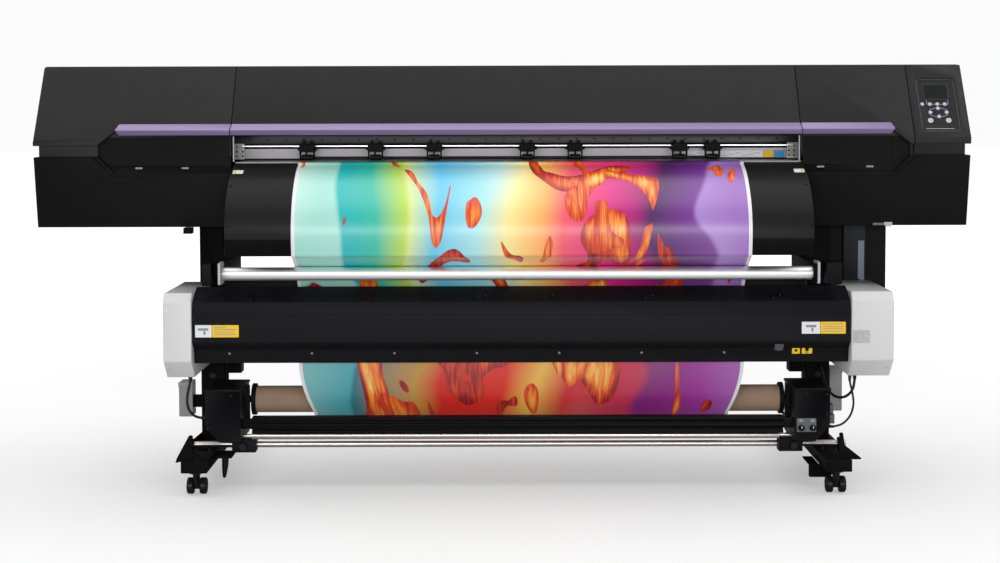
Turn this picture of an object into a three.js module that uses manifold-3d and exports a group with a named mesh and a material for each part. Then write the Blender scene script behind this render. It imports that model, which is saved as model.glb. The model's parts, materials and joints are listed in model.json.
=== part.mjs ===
// Wide-format printer cutter on a castered stand, with a take-up unit below.
// Millimetres. X runs along the machine, +X to the operator's right. The front faces -Y. +Z is up.
// The origin is on the floor, under the middle of the machine.

import * as THREE from 'three';
import { mergeVertices } from 'three/addons/utils/BufferGeometryUtils.js';
import Module from 'manifold-3d';

const wasm = await Module();
wasm.setup();

// ---------------------------------------------------------------- driving dimensions

// Clearances
const SEAT = 0.3; // between pieces that rest on each other
const SEAM = 1; // half the gap between neighbouring covers
const RUNNING = 0.4; // radial, round a shaft
const KEY_CLEARANCE = 0.5; // round a button

// Whole machine
const WIDTH = 3100;
const DEPTH = 960;
const HEIGHT = 1410;
const WALL = 4; // covers
const FRAME_WALL = 3; // tubes of the stand

// Upper housing, as a section across the machine
const NOSE_Y = -300;
const NOSE_LOW = 1145;
const NOSE_TOP = 1165;
const TOP_FRONT_Y = -145;
const TOP_REAR_Y = 250;
const BODY_REAR = 400;
const REAR_SHOULDER = 1300;
const GROOVE_LOW = 1108;
const GROOVE_DEPTH = 16;
const LOWER_BOTTOM = 873;
const LOWER_FRONT_Y = -260;
const LOWER_INSET = 2; // lower covers are this much narrower at each end

// Seams between the covers
const LEFT_SEAM = -898;
const RIGHT_SEAM = 991;
const PANEL_SEAM = 1364;
const COVER_HINGE_Y = 60;
const FRONT_COVER_WALL = 5;
const WINDOW_TOP = 1178;

// Recess below the trim on both sides of the window
const RECESS_FLOOR_Y = -268;
const RECESS_TOP = 1190;
const RECESS_BOTTOM = 1054;
const RECESS_APEX_LEFT = -1338;
const RECESS_APEX_RIGHT = 1352;
const RECESS_SLANT = 54; // how far a diagonal runs along X
const SHELF_WIDTH = 13; // step round the recess in the lower cover
const SHELF_DEPTH = 5;

// Coloured trim
const TRIM_TOP = 1217;
const TRIM_CREASE = 1197;
const TRIM_BOTTOM = 1179;
const TRIM_PROUD = 28; // how far the crease stands off the sloping face
const TRIM_LIP = 13;
const TRIM_LEFT_END = -1277;
const TRIM_RIGHT_END = 1298;
const TRIM_END_SLANT = 14;

// Control panel on the slope
const PANEL_LEFT = 1392;
const PANEL_RIGHT = 1521;
const PANEL_LOW = 1187;
const PANEL_HIGH = 1362;
const PANEL_RADIUS = 14;
const PANEL_DEPTH = 5;
const PANEL_BACKING = 18;
const KEY_STANDS = 2.5; // above the panel's floor
const KEY_SUNK = 5; // below the panel's floor
const KEY_WELL = 8;
const SMALL_KEY_RADIUS = 6.5;
const LARGE_KEY_RADIUS = 9.5;
const PANEL_CENTRE_X = 1455;
const KEY_PITCH = 25;
const ARROW_REACH = 27;
const ARROW_RISE = 13.5;
const KEY_ROW_Z = 1278;
const ARROW_Z = 1250.5;
const LARGE_KEY_Z = 1224;
const LARGE_KEY_REACH = 30;

// Print bed and its drive
const BED_LEFT = -891;
const BED_RIGHT = 1000;
const BED_TOP = 1089;
const BED_THICK = 12;
const BED_FRONT_Y = -240;
const BED_REAR_Y = 120;
const GUIDE_END = [335, 990]; // rear lip of the bed, Y and Z
const GUIDE_THICK = 3;
const GRIT_Y = -145;
const GRIT_RADIUS = 16;
const GRIT_SLOT_MARGIN = 3;
const GRIT_END_MARGIN = 22;
const JOURNAL_RADIUS = 6;
const BEARING_LENGTH = 12;

// Apron in front of the bed
const APRON_THICK = 3;
const APRON_BULGE_Z = 866;
const APRON_BOTTOM_Z = 793;
const APRON_TUCK = 10; // how far the bottom edge falls back from the bulge
const APRON_TOP_DROP = 4;
const RIB_THICK = 5;
const RIB_COUNT = 4;

// Media
const MEDIA_LEFT = -677;
const MEDIA_RIGHT = 802;
const MEDIA_THICK = 0.6;
const MEDIA_GAP = 0.5;
const BAR_GAP = 3;
const HOOD_GAP = 24; // the media hangs this far behind the hood
const LOOP_DROP = 35; // from the bottom of the core to the lowest point of the slack loop

// Beam, carriage and pinch rollers
const RAIL_LEFT = -1300;
const RAIL_RIGHT = 1400;
const RAIL_FRONT_Y = -100;
const RAIL_REAR_Y = 40;
const RAIL_TOP = 1300;
const RAIL_LIFT = 5; // above the bed
const RAIL_WALL = 5;
const GUIDE_LOW = 1146;
const GUIDE_HIGH = 1174;
const GUIDE_PROUD = 10;
const CARRIAGE_WIDTH = 270;
const CARRIAGE_HOME_X = 1195;
const CARRIAGE_FRONT_Y = -205;
const CARRIAGE_LOW = 1162;
const CARRIAGE_TOP = 1282;
const HEAD_FRONT_Y = -238;
const HEAD_REAR_Y = -183;
const HEAD_LOW = 1096;
const HEAD_TOP = 1192;
const HEAD_MARGIN = 20;
const PINCH_X = [-661, -429, -230, 86, 248, 603, 714];
const PINCH_RADIUS = 10;
const PINCH_WIDTH = 36;
const PINCH_SHAFT_RADIUS = 3;
const ARM_WIDTH = 50;
const ARM_WALL = 4;
const ARM_FRONT_Y = -168;
const ARM_REAR_Y = -116;
const ARM_LOW = 1119;
const ARM_TOP = 1146;
const ARM_BAR = 10;

// Structural beam
const FRAME_LEFT = -1180;
const FRAME_RIGHT = 1240;
const FRAME_FRONT_Y = -60;
const FRAME_REAR_Y = 250;
const FRAME_BOTTOM = 900;
const TOWER_THICK = 10;

// Stand
const LEFT_PILLAR_X = -1007;
const RIGHT_PILLAR_X = 1096;
const PILLAR_WIDTH = 80;
const PILLAR_DEPTH = 100;
const BEAM_WIDTH = 85;
const BEAM_HALF_LENGTH = 428;
const BEAM_LOW = 80;
const BEAM_TOP = 119;
const BEAM_END_BLOCK = 90;
const FLANGE_REACH = 38;
const FLANGE_HALF_LENGTH = 139;
const FLANGE_THICK = 8;
const STRETCHER_LOW = 520;
const STRETCHER_HIGH = 600;
const STRETCHER_HALF_DEPTH = 30;
const POST_LOW = 345;
const POST_WIDTH = 48;

// Casters
const WHEEL_RADIUS = 27;
const WHEEL_WIDTH = 22;
const WHEEL_PAIR_WIDTH = 64;
const WHEEL_ROUND = 5;
const AXLE_RADIUS = 5;
const CASTER_TRAIL = 14;
const CASTER_Y = 380;
const CASTER_PLATE_RADIUS = 26;
const CASTER_PLATE_THICK = 8;

// Tension bar
const TENSION_Y = -400;
const TENSION_Z = 730;
const TENSION_RADIUS = 21.5;
const TENSION_LEFT = -911;
const TENSION_RIGHT = 1009;
const TENSION_JOURNAL = 8;
const TENSION_ARM_THICK = 10;
const TENSION_ARM_HALF_HEIGHT = 30;
const ARM_NOSE = 30; // past the bar's axis

// Hood and its end covers
const HOOD_LEFT = -1010;
const HOOD_RIGHT = 1133;
const HOOD_REAR_Y = -320;
const HOOD_FRONT_Y = -410;
const HOOD_TOP = 680;
const HOOD_BOTTOM = 433;
const HOOD_WALL = 2;
const END_COVER_FRONT_Y = -420;
const END_COVER_REAR_Y = -50.3;
const END_COVER_LOW = 385;
const END_COVER_TOP = 668;
const LEFT_END_COVER = [-1103, -1011];
const RIGHT_END_COVER = [1135, 1272];
const HOOD_BRACKET_LOW = 540;
const HOOD_BRACKET_HIGH = 620;

// Take-up unit
const CORE_Y = -175;
const CORE_Z = 280;
const CORE_RADIUS = 45;
const CORE_BORE = 38.5;
const CORE_LEFT = -835;
const CORE_RIGHT = 937;
const FLANGE_RADIUS = 54;
const FLANGE_DISC = 14;
const HUB_DEPTH = 30;
const SPINDLE_RADIUS = 12;
const SPINDLE_DEPTH = 10;
const HOUSING_FRONT_Y = -322;
const HOUSING_REAR_Y = -120;
const HOUSING_LOW = 160;
const HOUSING_TOP = 338;
const LEFT_HOUSING = [-987, -870];
const RIGHT_HOUSING = [968, 1086];
const HOUSING_TAPER_X = 47;
const HOUSING_TAPER_Z = 55;
const LIP = 3;
const LIP_HEIGHT = 8;
const RAIL_FACE_Y = -330;
const RAIL_DEPTH = 40;
const RAIL_LOW = 190;
const RAIL_HIGH = 245;
const RAIL_GROOVE = 4;
const TURN_BAR_Y = -280;
const TURN_BAR_Z = 174;
const TURN_BAR_RADIUS = 12;
const TURN_BAR_LEFT = -838;
const TURN_BAR_RIGHT = 923;
const SLIDE_BAR_Y = -230;
const SLIDE_BAR_Z = 135.5;
const SLIDE_BAR_RADIUS = 10.5;
const SLIDE_BAR_LEFT = -1053;
const SLIDE_BAR_RIGHT = 1157;
const CLAMP_LENGTH = 80;
const CLAMP_HALF_DEPTH = 25;
const CLAMP_LOW = 112;
const CLAMP_TOP = 156;
const EAR_THICK = 8;
const EAR_HALF_DEPTH = 20;
const EAR_TOP = 152;
const KNOB_RADIUS = 10;
const KNOB_LENGTH = 12;
const KNOB_X = [990, 1028];
const KNOB_Z = 205;

// Supply roll at the back
const SUPPLY_Y = 370;
const SUPPLY_Z = 700;
const SUPPLY_RADIUS = 75;
const HOLDER_THICK = 10;
const HOLDER_GAP = 6;
const HOLDER_STUB = 38;
const STUB_LENGTH = 40;

// Waste ink tank
const TANK = { left: 1191, right: 1340, front: 0, rear: 150, low: 560 };

// Cables of the take-up unit, as points along their routes
const THICK_CABLE = 4.5;
const THIN_CABLE = 3.5;

// ---------------------------------------------------------------- solid helpers

const FINE = 28;
const MEDIUM = 20;
const COARSE = 12;
const FAR = 2000; // reaches past any piece

function solidOf(geometry) {
  const bare = geometry.clone();
  bare.deleteAttribute('normal');
  bare.deleteAttribute('uv');
  const merged = mergeVertices(bare, 1e-4);
  const corners = merged.index.array;
  const kept = [];
  for (let i = 0; i < corners.length; i += 3) {
    const [a, b, c] = [corners[i], corners[i + 1], corners[i + 2]];
    if (a !== b && b !== c && c !== a) kept.push(a, b, c);
  }
  return new wasm.Manifold(new wasm.Mesh({
    numProp: 3,
    vertProperties: new Float32Array(merged.attributes.position.array),
    triVerts: new Uint32Array(kept),
  }));
}

function geometryOf(solid) {
  const mesh = solid.getMesh();
  const geometry = new THREE.BufferGeometry();
  geometry.setAttribute('position', new THREE.BufferAttribute(new Float32Array(mesh.vertProperties), 3));
  geometry.setIndex(new THREE.BufferAttribute(new Uint32Array(mesh.triVerts), 1));
  geometry.computeVertexNormals();
  return geometry;
}

const ALONG_X = new THREE.Matrix4().makeBasis(
  new THREE.Vector3(0, 1, 0), new THREE.Vector3(0, 0, 1), new THREE.Vector3(1, 0, 0));
const ALONG_Y = new THREE.Matrix4().makeBasis(
  new THREE.Vector3(1, 0, 0), new THREE.Vector3(0, 0, 1), new THREE.Vector3(0, -1, 0));

function shapeOf(points) {
  return new THREE.Shape(points.map(([a, b]) => new THREE.Vector2(a, b)));
}

function extruded(shape, length) {
  return new THREE.ExtrudeGeometry(shape, { depth: length, bevelEnabled: false, curveSegments: 6 });
}

// A section given as Y, Z points, carried along X
function prismX(points, x0, x1) {
  return solidOf(extruded(shapeOf(points), x1 - x0).applyMatrix4(ALONG_X).translate(x0, 0, 0));
}

// An outline given as X, Z points, carried along Y
function prismY(points, y0, y1) {
  return solidOf(extruded(shapeOf(points), y1 - y0).applyMatrix4(ALONG_Y).translate(0, y1, 0));
}

function box([x0, x1], [y0, y1], [z0, z1]) {
  const block = new THREE.BoxGeometry(x1 - x0, y1 - y0, z1 - z0);
  return solidOf(block.translate((x0 + x1) / 2, (y0 + y1) / 2, (z0 + z1) / 2));
}

function rodX([x0, x1], y, z, radius, sides = MEDIUM) {
  const rod = new THREE.CylinderGeometry(radius, radius, x1 - x0, sides);
  return solidOf(rod.rotateZ(Math.PI / 2).translate((x0 + x1) / 2, y, z));
}

function rodZ(x, y, [z0, z1], radius, sides = MEDIUM) {
  const rod = new THREE.CylinderGeometry(radius, radius, z1 - z0, sides);
  return solidOf(rod.rotateX(Math.PI / 2).translate(x, y, (z0 + z1) / 2));
}

// Moves every side of a convex outline inwards by the same distance
function inset(points, distance) {
  const area = points.reduce((sum, [a, b], i) => {
    const [c, d] = points[(i + 1) % points.length];
    return sum + a * d - c * b;
  }, 0);
  const inward = Math.sign(area) * distance;
  const count = points.length;
  const sides = points.map(([a, b], i) => {
    const [c, d] = points[(i + 1) % count];
    const length = Math.hypot(c - a, d - b);
    const [u, v] = [(c - a) / length, (d - b) / length];
    return { a: a - v * inward, b: b + u * inward, u, v };
  });
  return sides.map((side, i) => {
    const last = sides[(i + count - 1) % count];
    const cross = last.u * side.v - last.v * side.u;
    const along = ((side.a - last.a) * side.v - (side.b - last.b) * side.u) / cross;
    return [last.a + last.u * along, last.b + last.v * along];
  });
}

// Points beside a curve, at a distance to the left of its direction of travel
function beside(curvePoints, distance) {
  return curvePoints.map(([a, b], i) => {
    const [c, d] = curvePoints[Math.max(i - 1, 0)];
    const [e, f] = curvePoints[Math.min(i + 1, curvePoints.length - 1)];
    const length = Math.hypot(e - c, f - d);
    return [a - ((f - d) / length) * distance, b + ((e - c) / length) * distance];
  });
}

// A sheet whose two faces lie at two distances beside a curve
function sheetSection(curvePoints, near, far) {
  return [...beside(curvePoints, near), ...beside(curvePoints, far).reverse()];
}

function bezier(a, b, c, d, steps) {
  const curve = new THREE.CubicBezierCurve(
    new THREE.Vector2(...a), new THREE.Vector2(...b), new THREE.Vector2(...c), new THREE.Vector2(...d));
  return curve.getPoints(steps).map((p) => [p.x, p.y]);
}

function smooth(points, steps) {
  const curve = new THREE.SplineCurve(points.map(([a, b]) => new THREE.Vector2(a, b)));
  return curve.getPoints(steps).map((p) => [p.x, p.y]);
}

// ---------------------------------------------------------------- finishes

const finish = (color, roughness, metalness = 0) => () =>
  new THREE.MeshStandardMaterial({ color, roughness, metalness });
const coverBlack = finish(0x2c2c2c, 0.5);
const lowerBlack = finish(0x1b1b1c, 0.55);
const frameBlack = finish(0x161617, 0.45, 0.2);
const trimPurple = finish(0x8f7aae, 0.35);
const aluminium = finish(0xb8b8ba, 0.35, 0.9);
const chrome = finish(0xd0ccc8, 0.12, 1);
const white = finish(0xdedede, 0.5);
const kraft = finish(0x8c7667, 0.9);
const vinyl = finish(0xd8c060, 0.3);
const rubber = finish(0x101010, 0.8);
const keyGrey = finish(0x303238, 0.45);
const tankBlack = finish(0x18191c, 0.5);

const machine = new THREE.Group();

function addPart(name, solid, material, parent = machine) {
  const mesh = new THREE.Mesh(geometryOf(solid), material());
  mesh.name = name;
  parent.add(mesh);
  return mesh;
}

// ---------------------------------------------------------------- upper housing

const slopeRun = (TOP_FRONT_Y - NOSE_Y) / (HEIGHT - NOSE_TOP);
const slopeY = (z) => NOSE_Y + (z - NOSE_TOP) * slopeRun;

const upperSection = [
  [NOSE_Y, NOSE_LOW], [NOSE_Y, NOSE_TOP], [TOP_FRONT_Y, HEIGHT],
  [TOP_REAR_Y, HEIGHT], [BODY_REAR, REAR_SHOULDER], [BODY_REAR, NOSE_LOW],
];

// Outline of a recess: it runs from the window to a pointed end
function recessOutline(windowX, apexX) {
  const slantEnd = apexX - Math.sign(apexX) * RECESS_SLANT;
  return [
    [windowX, RECESS_TOP], [slantEnd, RECESS_TOP], [apexX, NOSE_LOW],
    [apexX, GROOVE_LOW], [slantEnd, RECESS_BOTTOM], [windowX, RECESS_BOTTOM],
  ];
}

// Cuts the recess into a hollow cover and puts a floor and side walls behind it
function withRecess(hollow, outer, windowX, apexX) {
  const outline = recessOutline(windowX, apexX);
  const backing = prismY(inset(outline, -WALL), NOSE_Y, RECESS_FLOOR_Y + WALL);
  return hollow.add(backing.intersect(outer)).subtract(prismY(outline, NOSE_Y - WALL, RECESS_FLOOR_Y));
}

// A strip of end wall just behind the front face, beside the window
function windowRib(outer, x0, x1) {
  return outer.intersect(box([x0, x1], [NOSE_Y, RECESS_FLOOR_Y + WALL], [0, HEIGHT]));
}

// A hollow upper cover from x0 to x1, with the groove's skirt below; closed says which end has a wall
function upperCover(x0, x1, closed) {
  const skirtX0 = closed === 'left' ? x0 + GROOVE_DEPTH : x0;
  const skirtX1 = closed === 'right' ? x1 - GROOVE_DEPTH : x1;
  const skirtY = [NOSE_Y + GROOVE_DEPTH, BODY_REAR - GROOVE_DEPTH];
  const skirt = box([skirtX0, skirtX1], skirtY, [GROOVE_LOW + SEAT, NOSE_LOW + WALL]);
  const outer = prismX(upperSection, x0, x1).add(skirt);
  const hollowX = [closed === 'left' ? x0 + WALL : -FAR, closed === 'right' ? x1 - WALL : FAR];
  const hollowSkirtX = [closed === 'left' ? skirtX0 + WALL : -FAR, closed === 'right' ? skirtX1 - WALL : FAR];
  const upperHollow = prismX(inset(upperSection, WALL), ...hollowX);
  const skirtHollow = box(hollowSkirtX, [skirtY[0] + WALL, skirtY[1] - WALL], [0, NOSE_LOW + 2 * WALL]);
  return { outer, hollow: outer.subtract(upperHollow).subtract(skirtHollow) };
}

function addUpperCovers() {
  const half = WIDTH / 2;
  const left = upperCover(-half, LEFT_SEAM - SEAM, 'left');
  const leftRib = windowRib(left.outer, LEFT_SEAM - SEAM - WALL, LEFT_SEAM - SEAM);
  const leftBody = withRecess(left.hollow, left.outer, LEFT_SEAM + WALL, RECESS_APEX_LEFT);
  addPart('left_upper_cover', leftBody.add(leftRib.subtract(prismY(
    recessOutline(LEFT_SEAM + WALL, RECESS_APEX_LEFT), NOSE_Y - WALL, RECESS_FLOOR_Y))), coverBlack);

  const right = upperCover(RIGHT_SEAM + SEAM, PANEL_SEAM - SEAM, 'none');
  const rightRib = windowRib(right.outer, RIGHT_SEAM + SEAM, RIGHT_SEAM + SEAM + WALL);
  const rightBody = withRecess(right.hollow, right.outer, RIGHT_SEAM - WALL, RECESS_APEX_RIGHT);
  addPart('right_upper_cover', rightBody.add(rightRib.subtract(prismY(
    recessOutline(RIGHT_SEAM - WALL, RECESS_APEX_RIGHT), NOSE_Y - WALL, RECESS_FLOOR_Y))), coverBlack);
}

// ---------------------------------------------------------------- lower covers

const lowerSection = [
  [LOWER_FRONT_Y, LOWER_BOTTOM], [NOSE_Y, GROOVE_LOW], [BODY_REAR, GROOVE_LOW],
  [BODY_REAR - GROOVE_DEPTH, LOWER_BOTTOM],
];

// A shallow step round the recess, cut into the front of a lower cover
function recessShelf(windowX, apexX) {
  const outline = inset(recessOutline(windowX, apexX), -SHELF_WIDTH);
  const front = [[NOSE_Y - WALL, GROOVE_LOW], [NOSE_Y + SHELF_DEPTH, GROOVE_LOW]];
  const run = (LOWER_FRONT_Y - NOSE_Y) / (GROOVE_LOW - LOWER_BOTTOM);
  const slope = front.map(([y, z]) => [y + run * (GROOVE_LOW - LOWER_BOTTOM), LOWER_BOTTOM]);
  const skin = prismX([...front, slope[1], slope[0]], -WIDTH, WIDTH);
  return prismY(outline, NOSE_Y - WALL, 0).intersect(skin);
}

function lowerCover(x0, x1, closed, pillarX, windowX, apexX) {
  const outer = prismX(lowerSection, x0, x1);
  const hollowX = closed === 'left' ? [x0 + WALL, FAR] : [-FAR, x1 - WALL];
  const inner = inset(lowerSection, WALL);
  inner[1][1] += 3 * WALL;
  inner[2][1] += 3 * WALL;
  const ribX = closed === 'left' ? [x1 - WALL, x1] : [x0, x0 + WALL];
  const shell = outer.subtract(prismX(inner, ...hollowX)).add(windowRib(outer, ...ribX));
  const passage = PILLAR_WIDTH / 2 + FRAME_WALL;
  const pillarCut = box([pillarX - passage, pillarX + passage],
    [-PILLAR_DEPTH / 2 - FRAME_WALL, PILLAR_DEPTH / 2 + FRAME_WALL], [0, LOWER_BOTTOM + 2 * WALL]);
  const shelf = recessShelf(windowX, apexX);
  const shelfBacking = prismY(inset(recessOutline(windowX, apexX), -SHELF_WIDTH - WALL),
    NOSE_Y, RECESS_FLOOR_Y + WALL).intersect(outer);
  return withRecess(shell.add(shelfBacking), outer, windowX, apexX).subtract(shelf).subtract(pillarCut);
}

function addLowerCovers() {
  const half = WIDTH / 2 - LOWER_INSET;
  addPart('left_lower_cover', lowerCover(
    -half, LEFT_SEAM - SEAM, 'left', LEFT_PILLAR_X, LEFT_SEAM + WALL, RECESS_APEX_LEFT), lowerBlack);
  addPart('right_lower_cover', lowerCover(
    BED_RIGHT + 2 * SEAM, half, 'right', RIGHT_PILLAR_X, RIGHT_SEAM - WALL, RECESS_APEX_RIGHT), lowerBlack);
}

// ---------------------------------------------------------------- front and rear covers, trim

function addRearCover() {
  const outer = [
    [COVER_HINGE_Y + 2 * SEAM, GROOVE_LOW], [COVER_HINGE_Y + 2 * SEAM, HEIGHT],
    [TOP_REAR_Y, HEIGHT], [BODY_REAR, REAR_SHOULDER], [BODY_REAR, GROOVE_LOW],
  ];
  const inner = inset(outer, WALL);
  inner[0] = [0, 0];
  inner[1][0] = 0;
  inner[4][1] = 0;
  const xs = [LEFT_SEAM + SEAM, RIGHT_SEAM - SEAM];
  addPart('rear_cover', prismX(outer, ...xs).subtract(prismX(inner, -FAR, FAR)), coverBlack);
}

function addFrontCover() {
  const rearY = COVER_HINGE_Y - 2 * SEAM;
  const lean = Math.hypot(1, slopeRun);
  const innerTop = HEIGHT - FRONT_COVER_WALL;
  const innerY = (z) => slopeY(z) + FRONT_COVER_WALL * lean;
  const section = [
    [rearY, HEIGHT], [TOP_FRONT_Y, HEIGHT], [slopeY(WINDOW_TOP), WINDOW_TOP],
    [innerY(WINDOW_TOP), WINDOW_TOP], [innerY(innerTop), innerTop], [rearY, innerTop],
  ];
  addPart('front_cover', prismX(section, LEFT_SEAM + SEAM, RIGHT_SEAM - SEAM), coverBlack);
}

const trimSection = [
  [slopeY(TRIM_TOP) - SEAT, TRIM_TOP],
  [slopeY(TRIM_CREASE) - TRIM_PROUD, TRIM_CREASE],
  [slopeY(TRIM_BOTTOM) - TRIM_LIP, TRIM_BOTTOM],
  [slopeY(TRIM_BOTTOM) - SEAT, TRIM_BOTTOM],
];

function sideTrim(innerX, endX) {
  const slant = Math.sign(endX) * TRIM_END_SLANT;
  const outline = [
    [innerX, TRIM_BOTTOM - SEAT], [endX - slant, TRIM_BOTTOM - SEAT],
    [endX, TRIM_CREASE], [endX - slant / 2, TRIM_TOP + SEAT], [innerX, TRIM_TOP + SEAT],
  ];
  const [x0, x1] = innerX < endX ? [innerX, endX] : [endX, innerX];
  return prismX(trimSection, x0, x1).intersect(prismY(outline, NOSE_Y * 2, 0));
}

function addTrim() {
  addPart('left_trim', sideTrim(LEFT_SEAM - SEAM, TRIM_LEFT_END), trimPurple);
  addPart('front_trim', prismX(trimSection, LEFT_SEAM + SEAM, RIGHT_SEAM - SEAM), trimPurple);
  addPart('right_trim', sideTrim(RIGHT_SEAM + SEAM, TRIM_RIGHT_END), trimPurple);
}

// ---------------------------------------------------------------- control panel

// Frame on the sloping face: X, then up the slope, then straight out of it
const slopeLean = Math.hypot(1, slopeRun);
const upSlope = new THREE.Vector3(0, slopeRun / slopeLean, 1 / slopeLean);
const outOfSlope = new THREE.Vector3(0, -1 / slopeLean, slopeRun / slopeLean);
const ON_SLOPE = new THREE.Matrix4()
  .makeBasis(new THREE.Vector3(1, 0, 0), upSlope, outOfSlope)
  .setPosition(0, NOSE_Y, NOSE_TOP);
const slopeV = (z) => (z - NOSE_TOP) * slopeLean;

function roundedRectangle(x0, x1, y0, y1, radius) {
  const shape = new THREE.Shape();
  shape.moveTo(x0 + radius, y0);
  shape.lineTo(x1 - radius, y0);
  shape.absarc(x1 - radius, y0 + radius, radius, -Math.PI / 2, 0);
  shape.absarc(x1 - radius, y1 - radius, radius, 0, Math.PI / 2);
  shape.absarc(x0 + radius, y1 - radius, radius, Math.PI / 2, Math.PI);
  shape.absarc(x0 + radius, y0 + radius, radius, Math.PI, 1.5 * Math.PI);
  return shape;
}

function onPanel(margin, depth, height) {
  const shape = roundedRectangle(PANEL_LEFT - margin, PANEL_RIGHT + margin,
    slopeV(PANEL_LOW) - margin, slopeV(PANEL_HIGH) + margin, PANEL_RADIUS + margin);
  return solidOf(extruded(shape, height + depth).translate(0, 0, -depth).applyMatrix4(ON_SLOPE));
}

const rowStart = PANEL_CENTRE_X - 2 * KEY_PITCH;
const keys = [
  ...[0, 1, 2, 3].map((i) => ({
    name: `function_key_${i + 1}`, x: rowStart + i * KEY_PITCH, z: KEY_ROW_Z, radius: SMALL_KEY_RADIUS,
  })),
  { name: 'up_key', x: PANEL_CENTRE_X, z: ARROW_Z + ARROW_RISE, radius: SMALL_KEY_RADIUS },
  { name: 'left_key', x: PANEL_CENTRE_X - ARROW_REACH, z: ARROW_Z, radius: SMALL_KEY_RADIUS },
  { name: 'right_key', x: PANEL_CENTRE_X + ARROW_REACH, z: ARROW_Z, radius: SMALL_KEY_RADIUS },
  { name: 'down_key', x: PANEL_CENTRE_X, z: ARROW_Z - ARROW_RISE, radius: SMALL_KEY_RADIUS },
  { name: 'end_key', x: PANEL_CENTRE_X - LARGE_KEY_REACH, z: LARGE_KEY_Z, radius: LARGE_KEY_RADIUS },
  { name: 'enter_key', x: PANEL_CENTRE_X + LARGE_KEY_REACH, z: LARGE_KEY_Z, radius: LARGE_KEY_RADIUS },
];

// A short cylinder standing on the panel's floor, from below it to above it
function panelRod(key, radius, below, above) {
  const rod = new THREE.CylinderGeometry(radius, radius, above + below, COARSE);
  rod.rotateX(Math.PI / 2).translate(key.x, slopeV(key.z), (above - below) / 2 - PANEL_DEPTH);
  return solidOf(rod.applyMatrix4(ON_SLOPE));
}

function addControlPanel() {
  const cover = upperCover(PANEL_SEAM + SEAM, WIDTH / 2, 'right');
  let body = cover.hollow.add(onPanel(WALL, PANEL_BACKING, PANEL_DEPTH).intersect(cover.outer));
  body = body.subtract(onPanel(0, PANEL_DEPTH, PANEL_DEPTH));
  for (const key of keys) {
    body = body.subtract(panelRod(key, key.radius + KEY_CLEARANCE, KEY_WELL, PANEL_DEPTH));
    addPart(key.name, panelRod(key, key.radius, KEY_SUNK, KEY_STANDS), keyGrey);
  }
  addPart('control_panel_cover', body, coverBlack);
}

// ---------------------------------------------------------------- bed, apron and media

const gritZ = BED_TOP - GRIT_RADIUS;
const apronBulgeY = -DEPTH / 2 + MEDIA_GAP + MEDIA_THICK;
const apronCurve = [
  ...bezier([BED_FRONT_Y - SEAT - SEAM, BED_TOP - APRON_TOP_DROP], [-380, 1060],
    [apronBulgeY, 960], [apronBulgeY, APRON_BULGE_Z], 14),
  ...bezier([apronBulgeY, APRON_BULGE_Z], [apronBulgeY, 835],
    [apronBulgeY + APRON_TUCK / 2, 812], [apronBulgeY + APRON_TUCK, APRON_BOTTOM_Z], 5).slice(1),
];
const guideCurve = bezier([BED_REAR_Y - 1, BED_TOP - GUIDE_THICK / 2],
  [BED_REAR_Y + 90, BED_TOP - GUIDE_THICK / 2], [GUIDE_END[0], GUIDE_END[1] + 60], GUIDE_END, 8);

function addBed() {
  let bed = box([BED_LEFT, BED_RIGHT], [BED_FRONT_Y, BED_REAR_Y], [BED_TOP - BED_THICK, BED_TOP]);
  bed = bed.add(prismX(sheetSection(guideCurve, GUIDE_THICK / 2, -GUIDE_THICK / 2), BED_LEFT, BED_RIGHT));
  const grit = [BED_LEFT + GRIT_END_MARGIN, BED_RIGHT - GRIT_END_MARGIN];
  const slotHalf = GRIT_RADIUS + GRIT_SLOT_MARGIN;
  for (const [end, side] of [[grit[0], -1], [grit[1], 1]]) {
    const xs = side < 0 ? [end - BEARING_LENGTH, end] : [end, end + BEARING_LENGTH];
    bed = bed.add(box(xs, [GRIT_Y - GRIT_RADIUS, GRIT_Y + GRIT_RADIUS], [gritZ - GRIT_RADIUS, BED_TOP - 1]));
  }
  bed = bed.subtract(box(grit, [GRIT_Y - slotHalf, GRIT_Y + slotHalf], [0, BED_TOP + BED_THICK]));
  const bore = [grit[0] - BEARING_LENGTH + WALL, grit[1] + BEARING_LENGTH - WALL];
  bed = bed.subtract(rodX(bore, GRIT_Y, gritZ, JOURNAL_RADIUS + RUNNING));
  addPart('platen', bed, aluminium);

  const roller = rodX([grit[0] + SEAM, grit[1] - SEAM], GRIT_Y, gritZ, GRIT_RADIUS)
    .add(rodX([bore[0] + SEAM, bore[1] - SEAM], GRIT_Y, gritZ, JOURNAL_RADIUS));
  addPart('grit_roller', roller, aluminium);
}

function addApron() {
  let apron = prismX(sheetSection(apronCurve, 0, APRON_THICK), BED_LEFT, BED_RIGHT);
  const frameFace = FRAME_FRONT_Y - SEAT;
  const inside = beside(apronCurve, APRON_THICK / 2).filter(([, z]) => z > APRON_BULGE_Z - 1);
  const ribOutline = [...inside, [frameFace, (FRAME_BOTTOM + BED_TOP) / 2], [frameFace, gritZ - 2 * GRIT_RADIUS]];
  const clear = box([-FAR, FAR], [BED_FRONT_Y - SEAT, 0], [gritZ - 2 * GRIT_RADIUS, HEIGHT]);
  for (let i = 0; i < RIB_COUNT; i += 1) {
    const x = BED_LEFT + ((BED_RIGHT - BED_LEFT - RIB_THICK) * i) / (RIB_COUNT - 1);
    apron = apron.add(prismX(ribOutline, x, x + RIB_THICK).subtract(clear));
  }
  addPart('front_apron', apron, frameBlack);
}

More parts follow.
